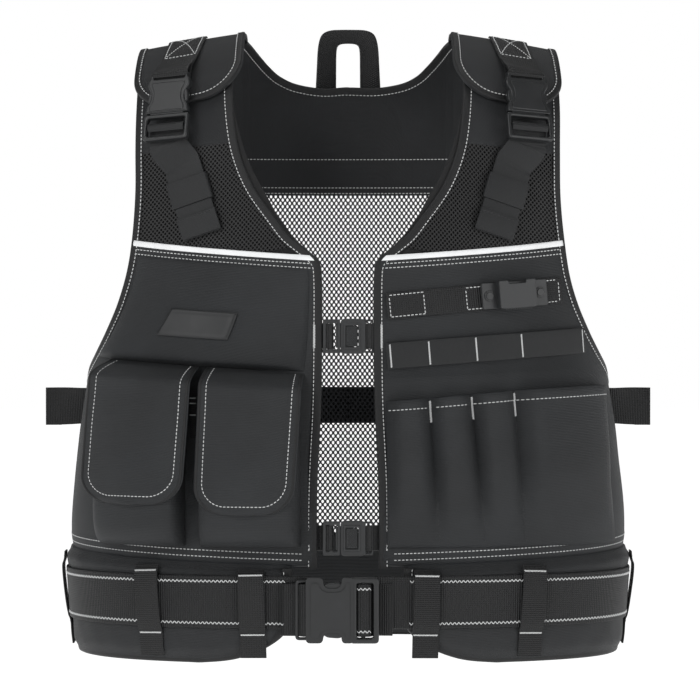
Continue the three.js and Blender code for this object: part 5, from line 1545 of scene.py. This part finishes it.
X_BOXES = {}
TAILS = {}
for word, side in SIDES:
    join, facing = on_shoulder(side, np.array([SHOULDER_JOIN]), SHOULDER_LIFT)
    join, facing = join[0], facing[0]
    across = unit(np.cross(facing, heading(side, SHOULDER_JOIN - 20, SHOULDER_JOIN + 5)))
    forward = np.cross(across, facing)
    place = (join, -across, forward, facing)

    def on_buckle(*places, join=join, forward=forward, facing=facing):
        at = np.array(places, float)
        return join + forward * at[:, None], np.broadcast_to(facing, (len(at), 3))

    upper = on_shoulder(side, np.linspace(62, 4, 9), SHOULDER_LIFT)
    lower = on_shoulder(side, np.linspace(SHOULDER_JOIN + 45, SHOULDER_TAIL, 12), SHOULDER_LIFT)
    anchor_line, anchor_at = track(joined(on_buckle(0, 21, 42, 48), upper))
    tail_line, tail_at = track(joined(on_buckle(0, -13.5, -27, -31), lower))
    low = -(SHOULDER_THICK + WEBBING) / 2 - GAP
    flat = FLAP_BASE + FLAP_RIM + GAP + SETTLE + WEBBING / 2 - SHOULDER_LIFT
    on_mesh = OVER_CLOTH + SETTLE + KEEPER["thick"] / 2 - SHOULDER_LIFT
    end = anchor_at[-1]
    sewn = flat - SETTLE - (FLAP_RIM - FLAP_CLOTH) + 0.5
    profile = [(end, sewn)]
    profile += [(mix(64, end, s), sewn + GAP if s > 0.4 else flat) for s in np.linspace(0.85, 0.1, 5)]
    profile = looped(42, 4, 3.4, profile, min(low, flat + 1.2), WEBBING)
    piece = webbed(f"shoulder_web_{word}", anchor_line, profile, SHOULDER_WEBBING, WEB)
    declare(piece, f"shoulder_anchor_{word}", (SHOULDER_WEBBING, 110))
    foot = tail_at[-1]
    at_end = OVER_CLOTH + GAP + WEBBING / 2 - SHOULDER_LIFT
    profile = [(-mix(35, foot, s), at_end if s == 1 else on_mesh) for s in np.linspace(1, 0.16, 7)]
    profile = [(-s, h) for s, h in threaded(27, 4, 3.2, profile, low)]
    piece = webbed(f"shoulder_tail_{word}", tail_line, profile, SHOULDER_WEBBING, SMOOTH_WEB)
    declare(piece, f"shoulder_strap_{word}", (SHOULDER_WEBBING, 150))
    over = on_mesh + WEBBING
    fold = [(foot - 21, over + 0.1), (foot - 12, over + 0.2), (foot - 1, over - 1.6)]
    piece = webbed(f"shoulder_tail_fold_{word}", tail_line, fold, SHOULDER_WEBBING + 2, SMOOTH_WEB, times=1)
    as_sheet(piece, (SHOULDER_WEBBING, 22))
    X_BOXES[word] = (anchor_line, anchor_at)
    TAILS[word] = (tail_line, tail_at)

    shape = [
        (0.3, 22, 0.8), (6, 22, 3), (13.5, 17.6, 4), (22, 17.6, 4), (28, 21.8, 3), (33, 21.8, 2),
        (36, 19.6, 2), (42, 19.6, 3),
    ]
    shell = mirrored_x(shape)
    low_crown = [(2.4, 18, 1), (7, 18, 3), (13, 14.5, 4), (23, 14.5, 4), (29, 17.6, 3), (31.5, 17, 3)]
    crown = mirrored_x(low_crown)
    socket = [
        plate([shell, box_outline(-16.4, 16.4, 35.4, 39.0, 1)], -4.4, 3.6, 1.4, 4),
        plate([crown], 2.6, 4.5, 0.9, 4),
        *[plate([fillet([(s * x, y, r) for x, y, r in SHOULDER_PRONG])], -2.4, 2.4, 1.0, 3) for s in (1, -1)],
    ]
    moulded_piece(f"shoulder_buckle_body_{word}", place, (f"shoulder_socket_{word}",), socket)
    buckle_frame = [
        boxed([(-23.4, 23.4, -27, -0.6, 3.4), (-19.6, 19.6, -23.4, -4.6, 2)], -3.4, 3.2, 1.5, 4),
        boxed([(-17.5, 17.5, -3.4, 4, 1)], -2.2, 2.2, 0.8, 2),
        rod(-20, -13.5, 20, -13.5, 1.5, -0.4, 12),
    ]
    moulded_piece(f"shoulder_buckle_frame_{word}", place, (f"shoulder_adjuster_{word}",), buckle_frame)

    held, facing = on_shoulder(side, np.array([KEEPER["at"]]), 0)
    across = unit(np.cross(facing[0], heading(side, KEEPER["at"] - 12, KEEPER["at"] + 12)))
    forward = np.cross(across, facing[0])
    middle = held[0] + facing[0] * (OVER_CLOTH + SETTLE + KEEPER["thick"] / 2)
    section = box_outline(-21, 21, -2.6, 2.6, 1.8, 4)
    hollow = box_outline(-19.6, 19.6, -1.3, 1.3, 1.0, 4)
    half_long = KEEPER["length"] / 2
    soft_end = section * 0.985
    levels = [
        (-half_long, hollow), (-half_long, soft_end), (-half_long + 0.5, section),
        (half_long - 0.5, section), (half_long, soft_end), (half_long, hollow),
    ]
    points = np.concatenate([
        middle + across * ring[:, :1] + facing[0] * ring[:, 1:2] + forward * at for at, ring in levels])
    n = len(section)
    faces = [
        [k * n + i, k * n + (i + 1) % n, ((k + 1) % 6) * n + (i + 1) % n, ((k + 1) % 6) * n + i]
        for k in range(6) for i in range(n)
    ]
    uv = np.concatenate([np.stack([lengths_of(ring), np.full(n, at)], 1) for at, ring in levels])
    piece = make(f"shoulder_band_{word}", points, facing_out(points, faces), SMOOTH_WEB, uv, 40)
    declare(piece, f"shoulder_keeper_{word}", (92, 25))

# Clip for a tape measure: a riveted plate with a bridge that leaves a slot behind it
CLIP = {"at": 0.575, "drop": 247, "width": 67, "ear": 25, "thick": 2.4, "gap": 6.4}
point, normal = on_left(np.array([CLIP["at"]]), np.array([float(CLIP["drop"])]))
right = unit(np.cross(unit(np.array([-0.08, 0, 1.0])), normal[0]))
along = np.cross(normal[0], right)
clip_place = (point[0] + normal[0] * (ON_PANEL + WEBBING + GAP), right, along, normal[0])
CLIP_TEETH = np.arange(-13, 13.5, 2.15)
half, ear = CLIP["width"] / 2, CLIP["ear"] / 2
front = CLIP["thick"] + CLIP["gap"]
bridge_outline = fillet([
    (-19, -12.6, 1), (-15, -13.5, 0.8), (15, -13.5, 0.8), (19, -12.6, 1), (19, 13.5, 1.2),
    (9.4, 13.5, 1), (8.6, 10.4, 1), (-8.6, 10.4, 1), (-9.4, 13.5, 1), (-19, 13.5, 1.2),
])
clip = [
    boxed([(-half, half, -ear, ear, 1.6)], 0, CLIP["thick"], 0.6, 3),
    plate([bridge_outline], front, front + CLIP["thick"], 0.8, 4),
    boxed([(-19, -16.6, -12.6, 13, 0.6)], 0.4, front + 1, 0.5, 2),
    boxed([(16.6, 19, -12.6, 13, 0.6)], 0.4, front + 1, 0.5, 2),
    *[boxed([(x - 0.55, x + 0.55, -14.6, -13.0, 0.3)], front + 0.4, front + 1.9, 0.3, 1) for x in CLIP_TEETH],
]
moulded_piece("clip_body", clip_place, ("tool_clip",), clip, PLASTIC_GREY)
for word, x in (("inner", -26.2), ("outer", 26.2)):
    turn = np.linspace(0, 2 * math.pi, 28, endpoint=False)
    round_it = np.stack([np.cos(turn), np.sin(turn)], 1)
    middle, base = np.array([x, 0]), CLIP["thick"]
    rivet = [
        plate([middle + round_it * 5.2], base - 0.4, base + 1.0, 0.4, 3),
        plate([middle + round_it * 4.0], base, base + 1.9, 0.7, 4),
    ]
    moulded_piece(f"clip_rivet_{word}", clip_place, (), rivet, PLASTIC)

# Sewing: every stitch is seated on the pieces that it goes through
X_BOX_TOP = 15
X_BOX_FOOT = -11
X_BOX_HALF = 15.5
STITCH = 3.7
DASH = 2.55
FROM_EDGE = 1.2
BELOW_STRIP = (5.6, 9.9)
ABOVE_WAIST = (5.0, 11.0)
BELT_STITCH = 20
ROW_STITCH = 10.3
STITCH_WIDTH = 0.98
STITCH_RISE = 0.45
SEWN = []
SEWN_DARK = []
STITCH_RINGS = ((0.0, 0.45, 0.1), (0.2, 1.0, 1.0), (0.8, 1.0, 1.0), (1.0, 0.45, 0.1))
STITCH_SECTION = ((-0.5, -0.15), (-0.28, 0.9), (0.28, 0.9), (0.5, -0.15))


def seat_on(*names):
    points, faces = together(*(SURFACES[n] for n in names))
    return BVHTree.FromPolygons(points.tolist(), faces)


def seated(points, normals, tree):
    """The points moved along their normals onto a surface, and whether each met it."""
    out, met = points.copy(), np.zeros(len(points), bool)
    for k in range(len(points)):
        hit = tree.ray_cast(Vector(points[k] + normals[k] * 25), Vector(-normals[k]), 60)[0]
        if hit is not None:
            out[k], met[k] = hit, True
    return out, met


def sew(starts, ends, start_normals, end_normals, tree, dark=False):
    a, met_a = seated(starts, start_normals, tree)
    b, met_b = seated(ends, end_normals, tree)
    length = np.linalg.norm(ends - starts, axis=1)
    kept = met_a & met_b & (np.linalg.norm(b - a, axis=1) < length * 1.6 + 0.4)
    (SEWN_DARK if dark else SEWN).append((a[kept], b[kept], start_normals[kept]))


def flipped(on):
    return on[0], -on[1]


def shifted(on, by):
    return on[0] + directions(*on)[1] * by, on[1]


def running(on, tree, dark=False):
    """A running stitch along a line."""
    where, at = track(on)
    here = np.arange(0.6, at[-1] - DASH, STITCH)
    a, na, _ = where(here)
    b, nb, _ = where(here + DASH)
    sew(a, b, na, nb, tree, dark)


def zigzag(on, tree, amplitude=1.2, period=3.8):
    """Stitches that swing from side to side along a line."""
    where, at = track(on)
    here = np.arange(0, at[-1], period / 2)
    p, n, across = where(here)
    swing = np.where(np.arange(len(here)) % 2 == 0, amplitude, -amplitude)
    p = p + across * swing[:, None]
    sew(p[:-1], p[1:], n[:-1], n[1:], tree)


def tack(on, tree, amplitude=0.75):
    zigzag(on, tree, amplitude, 1.5)


def polyline(where, corners):
    """Dense lines through (distance along, across) corners over a track."""
    parts = []
    for (s0, a0), (s1, a1) in zip(corners[:-1], corners[1:]):
        count = max(2, int(math.hypot(s1 - s0, a1 - a0) / 3))
        s, a = np.linspace(s0, s1, count), np.linspace(a0, a1, count)
        p, n, across = where(s)
        parts.append((p + across * a[:, None], n))
    return parts


def run_through(where, corners, tree, dark=False):
    for part in polyline(where, corners):
        running(part, tree, dark)


def tack_across(where, s, half_width, tree, above):
    """A tack across a strap at a distance along it, looked for from above the form."""
    for points, normals in polyline(where, [(s, -half_width), (s, half_width)]):
        tack((points + normals * above, normals), tree)


def stitches(name, runs, material):
    """Every stitch of a thread as one mesh, each a short rounded bar from a run's start to its end."""
    a, b, n = (np.concatenate([run[k] for run in runs]) for k in range(3))
    along = b - a
    side = unit(np.cross(n, along))
    rings = [
        a + along * t + side * (x * wide * STITCH_WIDTH) + n * (h * high * STITCH_RISE)
        for t, wide, high in STITCH_RINGS for x, h in STITCH_SECTION
    ]
    points = np.stack(rings, 1).reshape(-1, 3)
    quads = np.array([
        [r * 4 + c, r * 4 + 4 + c, r * 4 + 5 + c, r * 4 + 1 + c] for r in range(3) for c in range(3)
    ])
    faces = (np.arange(len(a))[:, None, None] * 16 + quads[None]).reshape(-1, 4).tolist()
    return make(name, points, faces, material, keep=False)


for word, side in SIDES:
    front = seat_on(f"front_edge_binding_{word}")
    running(shifted(front_line(side), side * (BINDING_WIDTH - FROM_EDGE)), front)
    armhole = seat_on(f"armhole_edge_binding_{word}")
    running(shifted(armhole_line(side), -side * (BINDING_WIDTH - FROM_EDGE)), armhole)
    panel = seat_on(f"front_cloth_{word}")
    t = shares(80, 0.02, 0.985)
    for below in BELOW_STRIP:
        running(front_panel_at(side, t, seam_height(t) - below), panel)
    for above in ABOVE_WAIST:
        running(front_panel_at(side, t, waist_height(t) + above), panel)
    pad_rim = seat_on(f"shoulder_pad_binding_{word}")
    running(shifted(dense(*flap_rim(side), step=2.2), side * 6.3), pad_rim)
    web = seat_on(f"shoulder_web_{word}")
    where, at = X_BOXES[word]
    along = np.linspace(at[-1], 0, 200)
    heights = where(along)[0][:, 2]
    top, foot = (along[np.argmax(heights < z)] for z in (X_BOX_TOP, X_BOX_FOOT))
    a, b = -X_BOX_HALF, X_BOX_HALF
    run_through(where, [(top, a), (top, b), (foot, b), (foot, a), (top, a), (foot, b)], web)
    run_through(where, [(foot, a), (top, b)], web)
    where, at = TAILS[word]
    hem_at = at[-1] - 19
    run_through(where, [(hem_at, -18), (hem_at, 18)], seat_on(f"shoulder_tail_fold_{word}"), dark=True)
    for drop, _ in CHEST_STRAPS.values():
        z = -drop + np.linspace(-11.5, 11.5, 8)
        on = facing_at(side * (front_edge(z) + BINDING_WIDTH - 1.4), z)
        tack(on, front, amplitude=1.1)
    tail = seat_on("back_webbing", f"tail_hem_{word}")
    hem_x = side * (TAIL_REACH - 14)
    z = -BACK_STRAP_DROP + np.linspace(-16, 16, 8)
    ends = tail_end(side)
    on = (np.stack([hem_x + 0 * z, side_point[1] + 6 + 0 * z, z], 1), np.repeat(ends[1], 8, 0))
    running(on, tail)

neck = seat_on("neck_edge_binding")
line = shifted(neck_line(), BINDING_WIDTH - FROM_EDGE)
running(line, neck)
running(flipped(line), neck)
yoke = seat_on("back_yoke_cloth")
for z, reach in ((-101.5, 0.97), (-130.8, 0.985), (-136.6, 0.985)):
    edge = float(back_edge(z)) * reach
    x = np.linspace(-edge, edge, 120)
    line = dense(*facing_at(x, z + 0 * x, 1))
    running(line, yoke)
    running(flipped(line), yoke)

pad_rim = seat_on("waist_padding_binding")
running(shifted(dense(*pad_line(), step=2.5), 7.5), pad_rim)
belt = seat_on("belt_webbing_band", "belt_end_left", "belt_end_right")
angles = np.linspace(pad_end + 1.0, 359 - pad_end, 400)
for sideways in (BELT_STITCH, -BELT_STITCH):
    zigzag(around(angles, -BELT_DROP + sideways + 0 * angles), belt)
    for part in polyline(leftward, [(-8.5, sideways), (-23.5, sideways)]):
        zigzag(part, belt)

for name, angle in BELT_LOOPS.items():
    loop = seat_on(f"loop_{name}")
    where, top = loop_line(angle)
    for s in (4.5, top - BELT_FOOT + 6):
        tack_across(where, s, 11.5, loop, PAD)

for name, flap in FLAPS.items():
    cover = seat_on(f"pouch_cover_{name}")
    on, height = pouch_flap_rim(flap, 7)
    line = (on[0] + on[1] * height[:, None], on[1])
    running(dense(*line, step=2), cover)
pen_seat = seat_on("pen_loop")
for z in (346, 351, 362):
    on = on_right(PEN_SHARE + np.linspace(-3.0, 3.0, 5) / HALF_WIDTH, z + np.zeros(5))
    tack(on, pen_seat, amplitude=0.5)

row = ROWS["accessory_webbing"]
web = seat_on("row_accessory_webbing")
for start, end in ((0.145, 0.265), (0.41, 0.735)):
    a, b = span_share(row, start), span_share(row, end)
    on = dense(*row_at(row, np.linspace(a, b, 40)))
    for by in (ROW_STITCH, -ROW_STITCH):
        running(shifted(on, by), web)
    where, at = track(on)
    for s in (0.2, at[-1] - 0.2):
        run_through(where, [(s, -ROW_STITCH), (s, ROW_STITCH)], web)
row = ROWS["loop_webbing"]
web = seat_on("row_loop_webbing")
on = dense(*row_at(row, shares(90)))
where, at = track(on)
for share in (row["from"] + 0.012, *TACKS, row["to"] - 0.012):
    s = span_share(row, share) * at[-1]
    tack_across(where, s, 11, web, 3)

pocket = seat_on("tool_pocket_cloth")
for cell in range(4):
    u = np.linspace(0.01, 0.99, 40)
    sideways, drop = tool_at(cell, u, (HEM + 0.6) / TOOL_RUN + 0 * u)
    running(on_left(sideways, drop), pocket)
    if cell:
        v = np.linspace(0.01, 0.16, 10)
        sideways, drop = tool_at(cell, 0 * v, v)
        tack(on_left(sideways, drop), pocket, amplitude=1.1)
        v = np.linspace(0.17, 0.98, 30)
        sideways, drop = tool_at(cell, 0 * v, v)
        running(on_left(sideways, drop), pocket, dark=True)

stitches("stitching_white", SEWN, THREAD)
stitches("stitching_dark", SEWN_DARK, THREAD_DARK)

# The camera stands where the photograph was taken from
camera = placed("camera", bpy.data.cameras.new("camera"))
camera.data.lens = 133.7
camera.data.sensor_width = 36
camera.location = (0.002, -2.6, -0.3)
camera.rotation_euler = (math.pi / 2, 0, 0)
bpy.context.scene.camera = camera

# Pale floor, white surroundings and soft lamps
floor_mesh = bpy.data.meshes.new("floor")
FLOOR = [(-30, -30, -1.05), (30, -30, -1.05), (30, 30, -1.05), (-30, 30, -1.05)]
floor_mesh.from_pydata(FLOOR, [], [(0, 1, 2, 3)])
floor = placed("floor", floor_mesh)
floor_material, _, floor_shader = nodes_for("floor_pale", 0.9, 0.1)
floor_shader.inputs["Base Color"].default_value = (0.4, 0.4, 0.4, 1)
floor_shader.inputs["Emission Color"].default_value = (1, 1, 1, 1)
floor_shader.inputs["Emission Strength"].default_value = 1.0
floor_mesh.materials.append(floor_material)
floor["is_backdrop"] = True

# White round the horizon, where cameras look, and dim above and below it
world = bpy.data.worlds.new("studio")
world.use_nodes = True
sky = world.node_tree
outward = node(sky, "ShaderNodeTexCoord")
apart = node(sky, "ShaderNodeSeparateXYZ")
sky.links.new(outward.outputs["Generated"], apart.inputs[0])
ramp = node(sky, "ShaderNodeValToRGB")
sky.links.new(maths(sky, "ABSOLUTE", apart.outputs["Z"]), ramp.inputs["Fac"])
ramp.color_ramp.elements[0].position = 0.15
ramp.color_ramp.elements[0].color = (1, 1, 1, 1)
ramp.color_ramp.elements[1].position = 0.22
ramp.color_ramp.elements[1].color = (0.1, 0.1, 0.1, 1)
sky.links.new(ramp.outputs["Color"], sky.nodes["Background"].inputs["Color"])
sky.nodes["Background"].inputs["Strength"].default_value = 1.0
bpy.context.scene.world = world


def lamp(name, place, aim, size, power):
    data = bpy.data.lights.new(name, "AREA")
    data.shape = "RECTANGLE"
    data.size, data.size_y = size
    data.energy = power
    made = placed(name, data)
    made.location = place
    made.rotation_euler = (Vector(aim) - Vector(place)).to_track_quat("-Z", "Y").to_euler()


lamp("key", (-1.6, -2.2, 1.3), (0, 0, -0.3), (1.2, 1.2), 34)
lamp("fill", (2.1, -1.7, 0.2), (0, 0, -0.3), (1.2, 1.6), 15)
lamp("top", (0, 0.2, 2.2), (0, 0, -0.3), (1.6, 1.2), 20)
bpy.context.scene.view_settings.view_transform = "Standard"

low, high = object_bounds()
